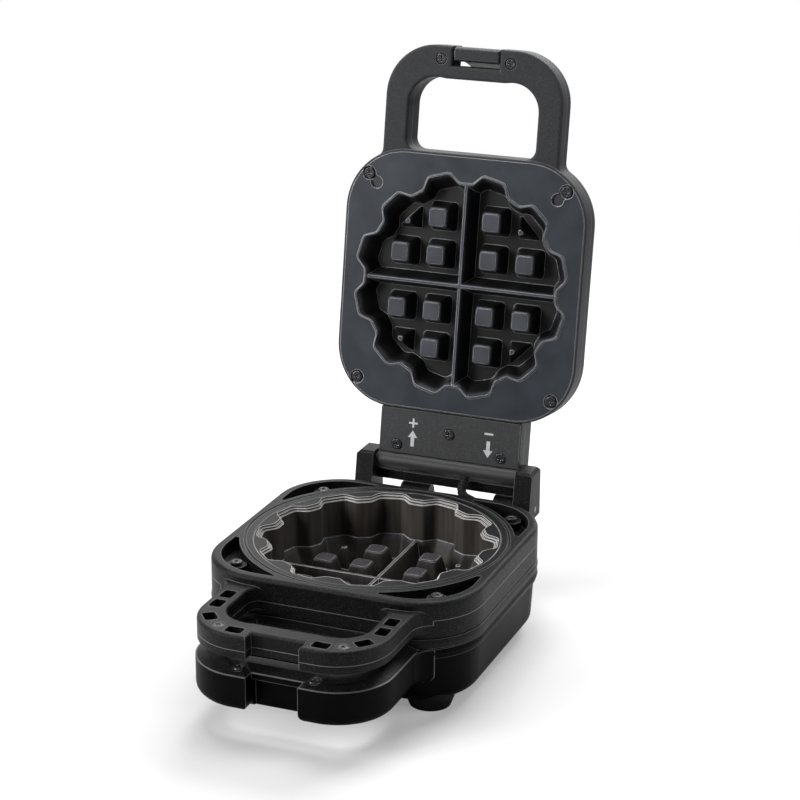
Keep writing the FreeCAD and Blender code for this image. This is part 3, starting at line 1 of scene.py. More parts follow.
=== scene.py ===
import json
import logging
import math
from dataclasses import dataclass, field
from enum import Enum
from typing import Any, Dict, List, Optional, Sequence, Tuple, Union

import bpy
import numpy as np
from mathutils import Matrix, Vector


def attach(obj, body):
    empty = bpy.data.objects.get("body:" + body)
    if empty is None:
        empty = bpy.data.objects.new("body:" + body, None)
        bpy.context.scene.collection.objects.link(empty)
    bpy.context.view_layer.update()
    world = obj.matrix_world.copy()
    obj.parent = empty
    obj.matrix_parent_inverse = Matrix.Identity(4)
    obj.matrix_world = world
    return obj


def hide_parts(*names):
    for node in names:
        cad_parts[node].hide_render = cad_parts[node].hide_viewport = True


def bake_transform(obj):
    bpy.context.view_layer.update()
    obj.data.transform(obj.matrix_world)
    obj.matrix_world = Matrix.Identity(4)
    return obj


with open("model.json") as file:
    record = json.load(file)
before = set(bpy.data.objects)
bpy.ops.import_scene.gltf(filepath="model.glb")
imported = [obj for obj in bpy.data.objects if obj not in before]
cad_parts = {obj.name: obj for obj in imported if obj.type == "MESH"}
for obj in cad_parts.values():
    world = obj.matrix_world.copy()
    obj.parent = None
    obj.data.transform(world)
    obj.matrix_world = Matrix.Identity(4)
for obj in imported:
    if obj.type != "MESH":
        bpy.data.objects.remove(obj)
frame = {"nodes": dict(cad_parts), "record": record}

LOG = logging.getLogger("waffle_pie_maker")
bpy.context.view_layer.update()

Colour = Tuple[float, float, float]
Place = Tuple[float, float, float]
FULL_TURN = 2.0 * math.pi


class Mark(Enum):
    """The marks on the hinge panel."""

    THICKER = "thicker_arrow"
    THINNER = "thinner_arrow"
    PLUS = "plus_mark"
    MINUS = "minus_mark"


class Sock:
    """A value on a shader socket, with the arithmetic that the finishes use."""

    def __init__(self, graph: "Graph", socket: bpy.types.NodeSocket) -> None:
        """Keep the socket and the graph that it belongs to."""
        self.graph = graph
        self.socket = socket

    def _math(self, operation: str, first: Any, second: Any) -> "Sock":
        """Add one Math node.

        Args:
            operation: the Math node's operation.
            first: left operand, a socket or a number.
            second: right operand, a socket or a number.

        Returns:
            The node's result.
        """
        return self.graph.node("ShaderNodeMath", {"operation": operation}, {0: first, 1: second})

    def __add__(self, other: Any) -> "Sock":
        """Sum."""
        return self._math("ADD", self, other)

    def __radd__(self, other: Any) -> "Sock":
        """Sum with a number on the left."""
        return self._math("ADD", other, self)

    def __sub__(self, other: Any) -> "Sock":
        """Difference."""
        return self._math("SUBTRACT", self, other)

    def __rsub__(self, other: Any) -> "Sock":
        """Difference from a number."""
        return self._math("SUBTRACT", other, self)

    def __mul__(self, other: Any) -> "Sock":
        """Product."""
        return self._math("MULTIPLY", self, other)

    def __rmul__(self, other: Any) -> "Sock":
        """Product with a number on the left."""
        return self._math("MULTIPLY", other, self)

    def ramp(self, low: float, high: float) -> "Sock":
        """Share of the way from low to high, eased and held between 0 and 1."""
        return self.graph.node("ShaderNodeMapRange", {"interpolation_type": "SMOOTHSTEP"},
                               {"Value": self, "From Min": low, "From Max": high})


class Graph:
    """Node tree of one material or of the world, emptied for a finish to fill."""

    bevel_samples: int = 8
    edge_lean: Tuple[float, float] = (0.01, 0.11)

    def __init__(self, tree: bpy.types.NodeTree) -> None:
        """Empty the tree."""
        self.tree = tree
        tree.nodes.clear()

    def node(self, kind: str, settings: Optional[Dict[str, Any]] = None,
             inputs: Optional[Dict[Any, Any]] = None, output: Union[int, str] = 0) -> Sock:
        """Add a node, apply its settings, then set or link its inputs.

        Args:
            kind: the node's Blender type.
            settings: properties of the node.
            inputs: values or sockets by input name or number.
            output: the output that is handed back.

        Returns:
            The chosen output.
        """
        made = self.tree.nodes.new(kind)
        for name, value in (settings or {}).items():
            setattr(made, name, value)
        for name, value in (inputs or {}).items():
            target = made.inputs[name]
            if isinstance(value, Sock):
                self.tree.links.new(value.socket, target)
            elif isinstance(value, tuple) and target.type == "RGBA":
                target.default_value = (*value, 1.0)
            else:
                target.default_value = value
        return Sock(self, made.outputs[output] if made.outputs else made.inputs[0])

    def coordinates(self) -> Sock:
        """Place on the piece, in metres."""
        return self.node("ShaderNodeTexCoord", output="Object")

    def noise(self, size: float, detail: float = 2.0, sharpness: float = 0.5, drawn: float = 1.0) -> Sock:
        """Noise between 0 and 1.

        Args:
            size: width of one grain, in metres.
            detail: octaves.
            sharpness: share that each octave adds.
            drawn: how many times a grain is longer along Z than across.

        Returns:
            The noise value.
        """
        place = self.coordinates()
        if drawn != 1.0:
            place = self.node("ShaderNodeVectorMath", {"operation": "MULTIPLY"},
                              {0: place, 1: (1.0, 1.0, 1.0 / drawn)})
        return self.node("ShaderNodeTexNoise", {"noise_dimensions": "3D"},
                         {"Vector": place, "Scale": 1.0 / size, "Detail": detail, "Roughness": sharpness})

    def mix(self, share: Any, first: Any, second: Any) -> Sock:
        """Mix two colours by a share."""
        return self.node("ShaderNodeMix", {"data_type": "RGBA"}, {0: share, 6: first, 7: second}, 2)

    def eased_edges(self, radius: float) -> Sock:
        """Normal that rounds the edges of a moulding or casting by a small radius."""
        return self.node("ShaderNodeBevel", {"samples": self.bevel_samples}, {"Radius": radius})

    def edge_share(self, eased: Sock) -> Sock:
        """Share that is 1 along a rounded edge and 0 on a face: how far the eased normal leans off the face's own."""
        flat = self.node("ShaderNodeNewGeometry", output="Normal")
        along = self.node("ShaderNodeVectorMath", {"operation": "DOT_PRODUCT"}, {0: eased, 1: flat}, "Value")
        return (1.0 - along).ramp(*self.edge_lean)

    def depth(self, inward: Place, face: float) -> Sock:
        """Depth below a flat face, from the face's inward direction and its distance from the origin along it."""
        along = self.node("ShaderNodeVectorMath", {"operation": "DOT_PRODUCT"}, {0: self.coordinates(), 1: inward},
                          "Value")
        return along - face

    def bump(self, height: Sock, depth: float, normal: Sock) -> Sock:
        """Normal of a height field.

        Args:
            height: the field, between 0 and 1.
            depth: height of 1, in metres.
            normal: the normal that it starts from.

        Returns:
            The bumped normal.
        """
        return self.node("ShaderNodeBump", {}, {"Height": height, "Distance": depth, "Strength": 1.0,
                                                "Normal": normal})

    def surface(self, **inputs: Any) -> None:
        """Principled shader on the output, its inputs named with underscores."""
        named = {name.replace("_", " ").title().replace("Ior", "IOR"): value for name, value in inputs.items()}
        shader = self.node("ShaderNodeBsdfPrincipled", {}, named)
        self.node("ShaderNodeOutputMaterial", {}, {"Surface": shader})


@dataclass(frozen=True)
class Finish:
    """A surface finish: its name, base colour and roughness, and the radius that eases its edges, in metres."""

    name: str
    colour: Colour
    roughness: float
    edge: float = 0.0004

    def graph(self) -> Tuple[bpy.types.Material, Graph]:
        """Empty material with its graph."""
        material = bpy.data.materials.new(self.name)
        material.use_nodes = True
        material.diffuse_color = (*self.colour, 1.0)
        return material, Graph(material.node_tree)

    def make(self) -> bpy.types.Material:
        """The material; each kind of finish builds its own."""
        raise NotImplementedError


@dataclass(frozen=True)
class MouldedPlastic(Finish):
    """Moulded plastic with a spark-eroded grain, slight sheen changes, painted glints on the grain's tops and a
    painted highlight along its edges.
    """

    # colour of the grain's tops: a painted glint
    crest_glint: Colour = (0.1, 0.1, 0.1)
    # colour along the edges: a painted highlight
    edge_highlight: Colour = (0.1, 0.1, 0.1)
    grain: float = 0.0008
    grain_depth: float = 0.00006
    level: float = 0.5
    crest_start: float = 0.46
    crest_span: float = 0.24
    gloss: float = 0.5
    gloss_roughness: float = 0.3
    cloud_size: float = 0.035
    cloud_sheen: float = 0.10
    crest_sheen: float = 0.12
    edge_sheen: float = 0.10

    def make(self) -> bpy.types.Material:
        """Grain in the normal, its tops shinier than its pits and painted paler as glints, and a painted highlight
        along the edges.
        """
        material, graph = self.graph()
        grain = graph.noise(self.grain, 3.0, 0.65)
        cloud = graph.noise(self.cloud_size, 2.0)
        eased = graph.eased_edges(self.edge)
        edges = graph.edge_share(eased)
        high = grain.ramp(self.crest_start, self.crest_start + self.crest_span)
        # painted light: the grain's tops are painted paler as glints, and the edges painted pale as a highlight
        colour = graph.mix(edges, graph.mix(high, self.colour, self.crest_glint), self.edge_highlight)
        sheen = (cloud - 0.5) * self.cloud_sheen
        rough = self.roughness + sheen - (grain - 0.5) * self.crest_sheen - edges * self.edge_sheen
        normal = graph.bump(grain, self.grain_depth, eased)
        graph.surface(base_color=colour, roughness=rough, normal=normal, specular_ior_level=self.level,
                      coat_weight=edges * self.gloss, coat_roughness=self.gloss_roughness)
        return material


@dataclass(frozen=True)
class CoatedCasting(Finish):
    """Cast aluminium under a satin non-stick coat: tones by depth below its face, the deepest of them painted shade
    in the recesses, orange peel, and a painted highlight along the edges.
    """

    inward: Place = (0.0, 0.0, -1.0)
    face: float = 0.0
    tones: Tuple[Tuple[float, Colour], ...] = ()
    middle: Optional[Place] = None
    studs: Colour = (0.1, 0.1, 0.1)
    studs_reach: float = 0.066
    # colour along the edges: a painted highlight
    painted_edge_highlight: Colour = (0.3, 0.3, 0.31)
    drawn: float = 1.0
    peel: float = 0.0011
    peel_depth: float = 0.00002
    level: float = 0.5
    studs_edge: float = 0.001
    cloud_size: float = 0.022
    drawn_cloud_size: float = 0.003
    cloud_dark: Colour = (0.80, 0.80, 0.80)
    cloud_pale: Colour = (1.18, 1.18, 1.18)
    cloud_sheen: float = 0.10
    peel_sheen: float = 0.06
    edge_sheen: float = 0.06

    def make(self) -> bpy.types.Material:
        """Depth tones, the deepest of them painted shade in the recesses, clouded by the spraying, with peel in the
        normal and a painted highlight along the edges.
        """
        material, graph = self.graph()
        peel = graph.noise(self.peel, 2.0)
        size = self.cloud_size if self.drawn == 1.0 else self.drawn_cloud_size
        cloud = graph.noise(size, 3.0, 0.55, self.drawn)
        eased = graph.eased_edges(self.edge)
        edges = graph.edge_share(eased)
        colour: Any = self.colour
        if self.middle is not None:
            away = graph.node("ShaderNodeVectorMath", {"operation": "DISTANCE"},
                              {0: graph.coordinates(), 1: self.middle}, "Value")
            beyond = away.ramp(self.studs_reach, self.studs_reach + self.studs_edge)
            colour = graph.mix(beyond, self.studs, self.colour)
        # the tones change with depth below the face; the deepest ones are painted shade in the recesses
        depth = graph.depth(self.inward, self.face)
        near = 0.0
        for far, tone in self.tones:
            colour = graph.mix(depth.ramp(near, far), colour, tone)
            near = far
        shade = graph.mix(cloud.ramp(0.3, 0.7), self.cloud_dark, self.cloud_pale)
        colour = graph.node("ShaderNodeVectorMath", {"operation": "MULTIPLY"}, {0: colour, 1: shade})
        # painted highlight: a pale colour along the edges
        colour = graph.mix(edges, colour, self.painted_edge_highlight)
        sheen = (cloud - 0.5) * self.cloud_sheen
        rough = self.roughness + sheen + (peel - 0.5) * self.peel_sheen - edges * self.edge_sheen
        normal = graph.bump(peel, self.peel_depth, eased)
        graph.surface(base_color=colour, roughness=rough, normal=normal, specular_ior_level=self.level)
        return material


@dataclass(frozen=True)
class PlainMetal(Finish):
    """Bare or blackened metal with fine drawing marks and a painted highlight along its edges."""

    metallic: float = 1.0
    marks: float = 0.0005
    # gain of the painted highlight along the edges
    highlight_gain: float = 1.0
    brightest: float = 0.8
    dulled: float = 0.75
    cloud_size: float = 0.006
    marks_sheen: float = 0.2
    marks_depth: float = 0.00001

    def make(self) -> bpy.types.Material:
        """Marks in gloss and colour, and a painted highlight along the edges."""
        material, graph = self.graph()
        marks = graph.noise(self.marks, 3.0, 0.6)
        cloud = graph.noise(self.cloud_size, 2.0)
        dull = tuple(c * self.dulled for c in self.colour)
        # painted highlight: the edge colour is the metal's colour raised by the gain, up to a cap
        painted_edge_highlight = tuple(min(c * self.highlight_gain, self.brightest) for c in self.colour)
        eased = graph.eased_edges(self.edge)
        colour = graph.mix(graph.edge_share(eased), graph.mix(cloud.ramp(0.3, 0.7), dull, self.colour), painted_edge_highlight)
        rough = self.roughness + (marks - 0.5) * self.marks_sheen
        normal = graph.bump(marks, self.marks_depth, eased)
        graph.surface(base_color=colour, roughness=rough, normal=normal, metallic=self.metallic)
        return material


@dataclass(frozen=True)
class Rubber(Finish):
    """Matte moulded rubber with a faint bloom."""

    bloom_size: float = 0.012
    bloom_gain: float = 1.5
    bloom_lift: float = 0.001
    bloom_sheen: float = 0.12
    grain: float = 0.0004
    grain_depth: float = 0.00003
    level: float = 0.2

    def make(self) -> bpy.types.Material:
        """Bloom in colour and roughness over a very fine grain."""
        material, graph = self.graph()
        bloom = graph.noise(self.bloom_size, 3.0, 0.6)
        grain = graph.noise(self.grain, 2.0)
        pale = tuple(c * self.bloom_gain + self.bloom_lift for c in self.colour)
        colour = graph.mix(bloom.ramp(0.35, 0.75), self.colour, pale)
        rough = self.roughness + (bloom - 0.5) * self.bloom_sheen
        normal = graph.bump(grain, self.grain_depth, graph.eased_edges(self.edge))
        graph.surface(base_color=colour, roughness=rough, normal=normal, specular_ior_level=self.level)
        return material


@dataclass(frozen=True)
class PadPrint(Finish):
    """Thin printed ink, a little uneven over the grain below it."""

    spot_size: float = 0.0006
    spot_depth: float = 0.00003
    spot_sheen: float = 0.15
    thinned: float = 0.82

    def make(self) -> bpy.types.Material:
        """Ink that thins slightly in spots."""
        material, graph = self.graph()
        spots = graph.noise(self.spot_size, 3.0, 0.6)
        thin = tuple(c * self.thinned for c in self.colour)
        colour = graph.mix(spots.ramp(0.3, 0.6), thin, self.colour)
        rough = self.roughness + (spots - 0.5) * self.spot_sheen
        normal = graph.bump(spots, self.spot_depth, graph.eased_edges(self.edge))
        graph.surface(base_color=colour, roughness=rough, normal=normal)
        return material


def finishes(lid: "ShutLid") -> Dict[str, Finish]:
    """Finishes of the record's slots and of the print.

    Args:
        lid: the shut lid's frame, for the depth below the lid plate's face.

    Returns:
        The finish of each slot.
    """
    inward, face = lid.plate_face()
    pan_rim = 0.0789
    # the lid plate's deepest tone is painted shade in its recesses; the pan walls' tone has the coat's own hue,
    # written paler than the coat as painted light, since the open lid shades the pan
    pit_painted_shade, brown_with_painted_light = (0.009, 0.009, 0.0092), (0.066, 0.058, 0.052)
    # the pan's deepest tone is painted shade in its recesses
    pan_studs, pan_pit_painted_shade = (0.066, 0.061, 0.066), (0.040, 0.036, 0.033)
    return {
        # the crest colours of the plastics are painted glints; the edge colours of plastics, coats and screws are
        # painted highlights
        "smooth_shell": MouldedPlastic("smooth_black_plastic", (0.0010, 0.0010, 0.0012), 0.36, 0.0008,
                                       crest_glint=(0.0022, 0.0022, 0.0025), edge_highlight=(0.17, 0.17, 0.175), grain=0.0009,
                                       grain_depth=0.00003, level=0.05, gloss=0.35),
        "grained_shell": MouldedPlastic("grained_black_plastic", (0.0020, 0.0021, 0.0023), 0.37, 0.0008,
                                        crest_glint=(0.029, 0.030, 0.031), edge_highlight=(0.19, 0.192, 0.195), grain=0.0009,
                                        grain_depth=0.0004, level=0.17, crest_start=0.48, gloss=0.5),
        "lid_shell": MouldedPlastic("satin_charcoal_plastic", (0.042, 0.043, 0.046), 0.46, 0.0007,
                                    crest_glint=(0.070, 0.071, 0.075), edge_highlight=(0.22, 0.22, 0.225), grain=0.0008,
                                    grain_depth=0.00010, level=0.12),
        "panel": MouldedPlastic("panel_charcoal_plastic", (0.050, 0.051, 0.053), 0.48, 0.0006,
                                crest_glint=(0.078, 0.079, 0.081), edge_highlight=(0.18, 0.18, 0.185), grain=0.0011,
                                grain_depth=0.00010, level=0.3),
        "barrel": MouldedPlastic("barrel_black_plastic", (0.036, 0.036, 0.037), 0.44, 0.0006,
                                 crest_glint=(0.054, 0.054, 0.055), edge_highlight=(0.13, 0.13, 0.13), grain=0.0010,
                                 grain_depth=0.00003, level=0.4),
        "plate_coating": CoatedCasting("blue_grey_coating", (0.035, 0.041, 0.052), 0.36, 0.0006, inward, face,
                                       ((0.0008, (0.05, 0.055, 0.065)), (0.0040, pit_painted_shade)), lid.plate_middle(),
                                       (0.064, 0.069, 0.083), painted_edge_highlight=(0.80, 0.81, 0.83), level=0.42),
        "ring_coating": CoatedCasting("brown_black_coating", (0.008, 0.009, 0.012), 0.44, 0.0008, (0.0, 0.0, -1.0),
                                      -pan_rim, ((0.0012, brown_with_painted_light), (0.0285, brown_with_painted_light), (0.0293, pan_studs),
                                                 (0.0303, pan_studs), (0.0345, pan_pit_painted_shade)),
                                      painted_edge_highlight=(0.96, 0.95, 0.94), drawn=18.0, level=0.13),
        "screw": PlainMetal("blackened_screw_steel", (0.060, 0.060, 0.064), 0.30, 0.0003, metallic=0.7, highlight_gain=9.0),
        "pin_steel": PlainMetal("drawn_steel", (0.55, 0.55, 0.56), 0.28),
        "slide_plastic": MouldedPlastic("slide_plastic", (0.06, 0.06, 0.06), 0.40, 0.0003, crest_glint=(0.07, 0.07, 0.07),
                                        grain_depth=0.00002),
        "heater_sheath": PlainMetal("heat_tinted_sheath", (0.28, 0.26, 0.24), 0.42),
        "reflector_sheet": PlainMetal("bare_sheet", (0.78, 0.78, 0.78), 0.25),
        "control_metal": PlainMetal("plated_steel", (0.6, 0.6, 0.6), 0.3),
        "terminal_plastic": MouldedPlastic("terminal_plastic", (0.68, 0.67, 0.62), 0.45, 0.0003,
                                           crest_glint=(0.74, 0.73, 0.68), edge_highlight=(0.76, 0.75, 0.70), grain_depth=0.00002),
        "foot_rubber": Rubber("foot_rubber", (0.004, 0.004, 0.0042), 0.58, 0.0008),
        "sleeve": Rubber("sleeve_rubber", (0.010, 0.010, 0.0105), 0.42, 0.0003),
        "print": PadPrint("silver_ink", (0.74, 0.75, 0.76), 0.45, 0.0001),
    }


class Dresser:
    """Makes each finish once and puts it on nodes and pieces."""

    def __init__(self, table: Dict[str, Finish]) -> None:
        """Keep the finishes, with no materials made yet."""
        self.table = table
        self.made: Dict[str, bpy.types.Material] = {}

    def material(self, slot: str) -> bpy.types.Material:
        """Material of a finish, made at its first use."""
        if slot not in self.made:
            self.made[slot] = self.table[slot].make()
        return self.made[slot]

    def dress(self, obj: bpy.types.Object, slot: str) -> None:
        """Give an object one finish."""
        obj.data.materials.clear()
        obj.data.materials.append(self.material(slot))

    def dress_bodies(self, bodies: Sequence[str]) -> None:
        """Give every CAD node of some bodies the finish of its slot in the record.

        Args:
            bodies: names of the moving bodies.
        """
        slots = {row["node"]: row["material_slot"] for row in frame["record"]["subparts"]}
        for body in bodies:
            for node in frame["record"]["behaviour"]["bodies"][body]:
                self.dress(frame["nodes"][node], slots[node])
                LOG.info("%s: %s", node, slots[node])


def mesh_piece(name: str, points: np.ndarray, faces: List[List[int]], smooth: bool) -> bpy.types.Object:
    """Object at the origin from whole arrays of points and faces.

    Args:
        name: the piece's name.
        points: places, one row each, in metres.
        faces: corner numbers of each face, turned outwards.
        smooth: whether the faces are shaded smooth.

    Returns:
        The new object.
    """
    mesh = bpy.data.meshes.new(name)
    mesh.from_pydata(points.tolist(), [], faces)
    mesh.polygons.foreach_set("use_smooth", np.full(len(mesh.polygons), smooth))
    mesh.update()
    obj = bpy.data.objects.new(name, mesh)
    bpy.context.collection.objects.link(obj)
    return obj


def looped_grid(rows: int, columns: int) -> List[List[int]]:
    """Faces of a grid whose rows and columns both close on themselves, four corner numbers each."""
    row, column = np.meshgrid(np.arange(rows), np.arange(columns), indexing="ij")
    ahead = (row + 1) % rows
    beside = (column + 1) % columns
    corners = [row * columns + column, ahead * columns + column, ahead * columns + beside, row * columns + beside]
    return np.stack(corners[::-1], axis=-1).reshape(-1, 4).tolist()


def slab_faces(count: int) -> List[List[int]]:
    """Faces of a flat outline's slab: the far face, the near face, then the side walls."""
    ring = np.arange(count)
    after = (ring + 1) % count
    walls = np.stack([ring, after, after + count, ring + count], axis=-1)
    return [ring[::-1].tolist(), (ring + count).tolist()] + walls.tolist()


def joint(name: str) -> Dict[str, Any]:
    """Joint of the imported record, by name."""
    return next(row for row in frame["record"]["behaviour"]["joints"] if row["name"] == name)


@dataclass
class ShutLid:
    """Frame of the shut lid: its places are turned about the barrel to where the open lid is.

    Attributes:
        pivot: middle of the barrel.
        opening: angle from shut to open.
        face: height of the shut lid plate's face.
        reach: distance from the barrel to the middle of the pan.
    """

    pivot: np.ndarray = field(default_factory=lambda: np.array(joint("lid_hinge")["pos_m"]))
    opening: float = field(default_factory=lambda: math.radians(min(joint("lid_hinge")["range_deg"])))
    face: float = 0.0793
    reach: float = 0.1315

    def opened(self, points: np.ndarray) -> np.ndarray:
        """Turn points of the shut lid about X through the barrel by the opening angle.

        Args:
            points: places on the shut lid, in metres.

        Returns:
            The places on the open lid.
        """
        c, s = math.cos(self.opening), math.sin(self.opening)
        turn = np.array([[1.0, 0.0, 0.0], [0.0, c, -s], [0.0, s, c]])
        return (points - self.pivot) @ turn.T + self.pivot

    def plate_face(self) -> Tuple[Place, float]:
        """Inward direction of the open lid plate's face and the face's distance from the origin along it."""
        inward = (0.0, -math.sin(self.opening), math.cos(self.opening))
        return inward, float(np.dot(self.pivot, inward)) + self.face - self.pivot[2]

    def plate_middle(self) -> Place:
        """Middle of the open lid plate's face."""
        return tuple(self.opened(np.array([0.0, self.pivot[1] - self.reach, self.face])).tolist())


@dataclass
class BaseTier:
    """Tub, band, lower plate, handle cover and feet, as the CAD has them."""

    dresser: Dresser

    def dress(self) -> None:
        """Finish the base's nodes."""
        self.dresser.dress_bodies(("base",))


@dataclass
class RingTier:
    """Ring tier with its casting and rear posts, and the ribbed rubber sleeve from its rear wall to the barrel.

    Attributes:
        dresser: puts the finishes on.
        lid: the shut lid's frame.
        x: place of the sleeve's wall end across the object.
        barrel_x: place of its barrel end across the object.
        wall: distance from the wall's face to the barrel's axis.
        height: height of the wall end.
        seat: length inside the wall.
        straight: length of the straight run at each end.
        rise: slope of the barrel end.
        barrel_gap: distance from the barrel's axis to the barrel end.
        pull: share of the bend's chord at which its middle poles stand.
        bend_steps: places along the bend.
        root: radius between the ribs.
        crest: radius of the ribs.
        bore: radius of the hole.
        ribs: number of ribs.
        rib_steepness: how quickly a rib rises to its flat crest.
        around: corners around the sleeve.
        along: rings along the sleeve.
    """

    dresser: Dresser
    lid: ShutLid
    x: float = 0.030
    barrel_x: float = 0.015
    wall: float = 0.038
    height: float = 0.070
    seat: float = 0.0036
    straight: float = 0.0064
    rise: float = math.radians(40.0)
    barrel_gap: float = 0.00665
    pull: float = 0.45
    bend_steps: int = 200
    root: float = 0.0025
    crest: float = 0.0032
    bore: float = 0.0017
    ribs: int = 16
    rib_steepness: float = 0.95
    around: int = 40
    along: int = 420

    def dress(self) -> None:
        """Finish the nodes of the ring tier and of the sliding hinge pin."""
        self.dresser.dress_bodies(("ring", "carriage"))

    def route(self) -> Tuple[np.ndarray, np.ndarray, np.ndarray]:
        """Middle line of the sleeve: straight out of the wall, a cubic Bezier bend, straight towards the barrel.

        Returns:
            Places, directions and the distance along the sleeve from the wall's face.
        """
        into = np.array([0.0, math.cos(self.rise), math.sin(self.rise)])
        out = np.array([0.0, 1.0, 0.0])
        pivot = self.lid.pivot
        start = np.array([self.x, pivot[1] - self.wall, self.height])
        finish = np.array([self.barrel_x, pivot[1], pivot[2]]) - into * self.barrel_gap
        near, far = start + out * self.straight, finish - into * self.straight
        reach = np.linalg.norm(far - near) * self.pull
        poles = np.array([near, near + out * reach, far - into * reach, far])
        share = np.linspace(0.0, 1.0, self.bend_steps)[:, None]
        weights = [(1 - share) ** 3, 3 * share * (1 - share) ** 2, 3 * share ** 2 * (1 - share), share ** 3]
        bend = sum(weight * pole for weight, pole in zip(weights, poles))
        rough = np.concatenate([[start - out * self.seat], [start], bend, [finish]])
        steps = np.linalg.norm(np.diff(rough, axis=0), axis=1)
        gone = np.concatenate([[0.0], np.cumsum(steps)])
        even = np.linspace(0.0, gone[-1], self.along)
        places = np.stack([np.interp(even, gone, rough[:, axis]) for axis in range(3)], axis=1)
        ahead = np.gradient(places, axis=0)
        return places, ahead / np.linalg.norm(ahead, axis=1)[:, None], even - self.seat

    def build(self) -> None:
        """Carry a circle along the route, its radius waving between root and crest, and back inside as the bore."""
        places, ahead, gone = self.route()
        level = np.array([1.0, 0.0, 0.0]) - ahead * ahead[:, :1]
        level /= np.linalg.norm(level, axis=1)[:, None]
        upward = np.cross(ahead, level)
        pitch = gone[-1] / self.ribs
        swing = np.cos(FULL_TURN * gone / pitch)
        wave = np.clip(0.5 - self.rib_steepness * swing, 0.0, 1.0) * (gone > 0)
        outer = self.root + (self.crest - self.root) * wave
        radius = np.concatenate([outer, np.full(self.along, self.bore)])
        order = np.concatenate([np.arange(self.along), np.arange(self.along)[::-1]])
        turn = np.linspace(0.0, FULL_TURN, self.around, endpoint=False)[None, :, None]
        ring = level[order][:, None] * np.cos(turn) + upward[order][:, None] * np.sin(turn)
        points = (places[order][:, None] + radius[:, None, None] * ring).reshape(-1, 3)
        piece = mesh_piece("ribbed_lead_sleeve", points, looped_grid(2 * self.along, self.around), True)
        self.dresser.dress(piece, "sleeve")
        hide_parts("lead_conduit")
        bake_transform(piece)
        LOG.info("ribbed lead sleeve, %d ribs", self.ribs)


@dataclass
class Lid:
    """Lid with its plate, and the marks on its hinge panel: an arrow each way, a plus and a minus above them."""

    dresser: Dresser
    lid: ShutLid
    ink: float = 0.00012
    panel_gap: float = 0.00003
    panel_face: float = 0.0797
    up_spot: Tuple[float, float] = (-0.0277, -0.0180)
    down_spot: Tuple[float, float] = (0.0300, -0.0176)
    sign_rise: float = 0.0112
    length: float = 0.0118
    head_length: float = 0.0052
    head_width: float = 0.0072
    shaft_width: float = 0.0027
    sign_length: float = 0.0066
    sign_width: float = 0.0014

    def dress(self) -> None:
        """Finish the lid's nodes."""
        self.dresser.dress_bodies(("lid",))

    def mark(self, kind: Mark, outline: np.ndarray, spot: Tuple[float, float]) -> None:
        """Thin slab of ink on the panel's face.

        The outline is in the panel's plane, across the lid and along it from the barrel to the handle.

        Args:
            kind: which mark it is.
            outline: corners in the plane, anticlockwise as seen from the front.
            spot: middle of the mark from the barrel's middle.
        """
        across = outline[:, 0] + spot[0]
        along = self.lid.pivot[1] + spot[1] - outline[:, 1]
        back = np.stack([across, along, np.full(len(outline), self.panel_face + self.panel_gap)], axis=1)
        front = back - np.array([0.0, 0.0, self.ink])
        points = self.lid.opened(np.concatenate([back, front]))
        piece = mesh_piece(kind.value, points, slab_faces(len(outline)), False)
        self.dresser.dress(piece, "print")
        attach(piece, "lid")
        LOG.info("%s on the hinge panel", kind.value)

    def arrow(self, sense: float) -> np.ndarray:
        """Arrow's corners about its middle: a shaft and a three-cornered head, upwards for 1, downwards for -1."""
        half, neck = self.length / 2, self.length / 2 - self.head_length
        shaft, head = self.shaft_width / 2, self.head_width / 2
        corners = np.array([(-shaft, -half), (shaft, -half), (shaft, neck), (head, neck), (0.0, half), (-head, neck),
                            (-shaft, neck)])
        return corners * sense

    def sign(self, crossed: bool) -> np.ndarray:
        """Corners of a minus sign about its middle, or of a plus sign, its bar crossed by an equal one."""
        arm, width = self.sign_length / 2, self.sign_width / 2
        if not crossed:
            return np.array([(-arm, -width), (arm, -width), (arm, width), (-arm, width)])
        half = np.array([(-arm, -width), (-width, -width), (-width, -arm), (width, -arm), (width, -width),
                         (arm, -width)])
        return np.concatenate([half, -half])

    def build(self) -> None:
        """Print the arrows and the signs above them."""
        over_up = (self.up_spot[0], self.up_spot[1] - self.sign_rise)
        over_down = (self.down_spot[0], self.down_spot[1] - self.sign_rise)
        self.mark(Mark.THICKER, self.arrow(1.0), self.up_spot)
        self.mark(Mark.THINNER, self.arrow(-1.0), self.down_spot)
        self.mark(Mark.PLUS, self.sign(True), over_up)
        self.mark(Mark.MINUS, self.sign(False), over_down)


@dataclass
class Latch:
    """Latch with the flat thumb face over its round root."""

    dresser: Dresser
    lid: ShutLid
    pivot_reach: float = 0.1615
    front: float = 0.08145
    depth: float = 0.0022
    half_width: float = 0.0163
    half_height: float = 0.0041
    edge: float = 0.0006

    def dress(self) -> None:
        """Finish the latch's node."""
        self.dresser.dress_bodies(("latch",))

    def build(self) -> None:
        """Slab with an eased front: three rectangles, full at the back and the shoulder, smaller in front."""
        middle = self.lid.pivot[1] - self.lid.reach - self.pivot_reach
        signs = np.array([(-1, 1), (-1, -1), (1, -1), (1, 1)])
        half = np.array([self.half_width, self.half_height])
        rings = [(half, self.front + self.depth), (half, self.front + self.edge), (half - self.edge, self.front)]
        points = np.concatenate([np.column_stack([signs * size + [0.0, middle], np.full(4, level)])
                                 for size, level in rings])
        ring = np.arange(4)
        after = (ring + 1) % 4
        walls = [np.stack([ring, after, after + 4, ring + 4], axis=-1) + 4 * step for step in range(2)]
        faces = [ring[::-1].tolist(), (ring + 8).tolist()] + np.concatenate(walls).tolist()
        piece = mesh_piece("latch_thumb_face", self.lid.opened(points), faces, False)
        self.dresser.dress(piece, "lid_shell")
        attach(piece, "latch")
        LOG.info("latch thumb face")


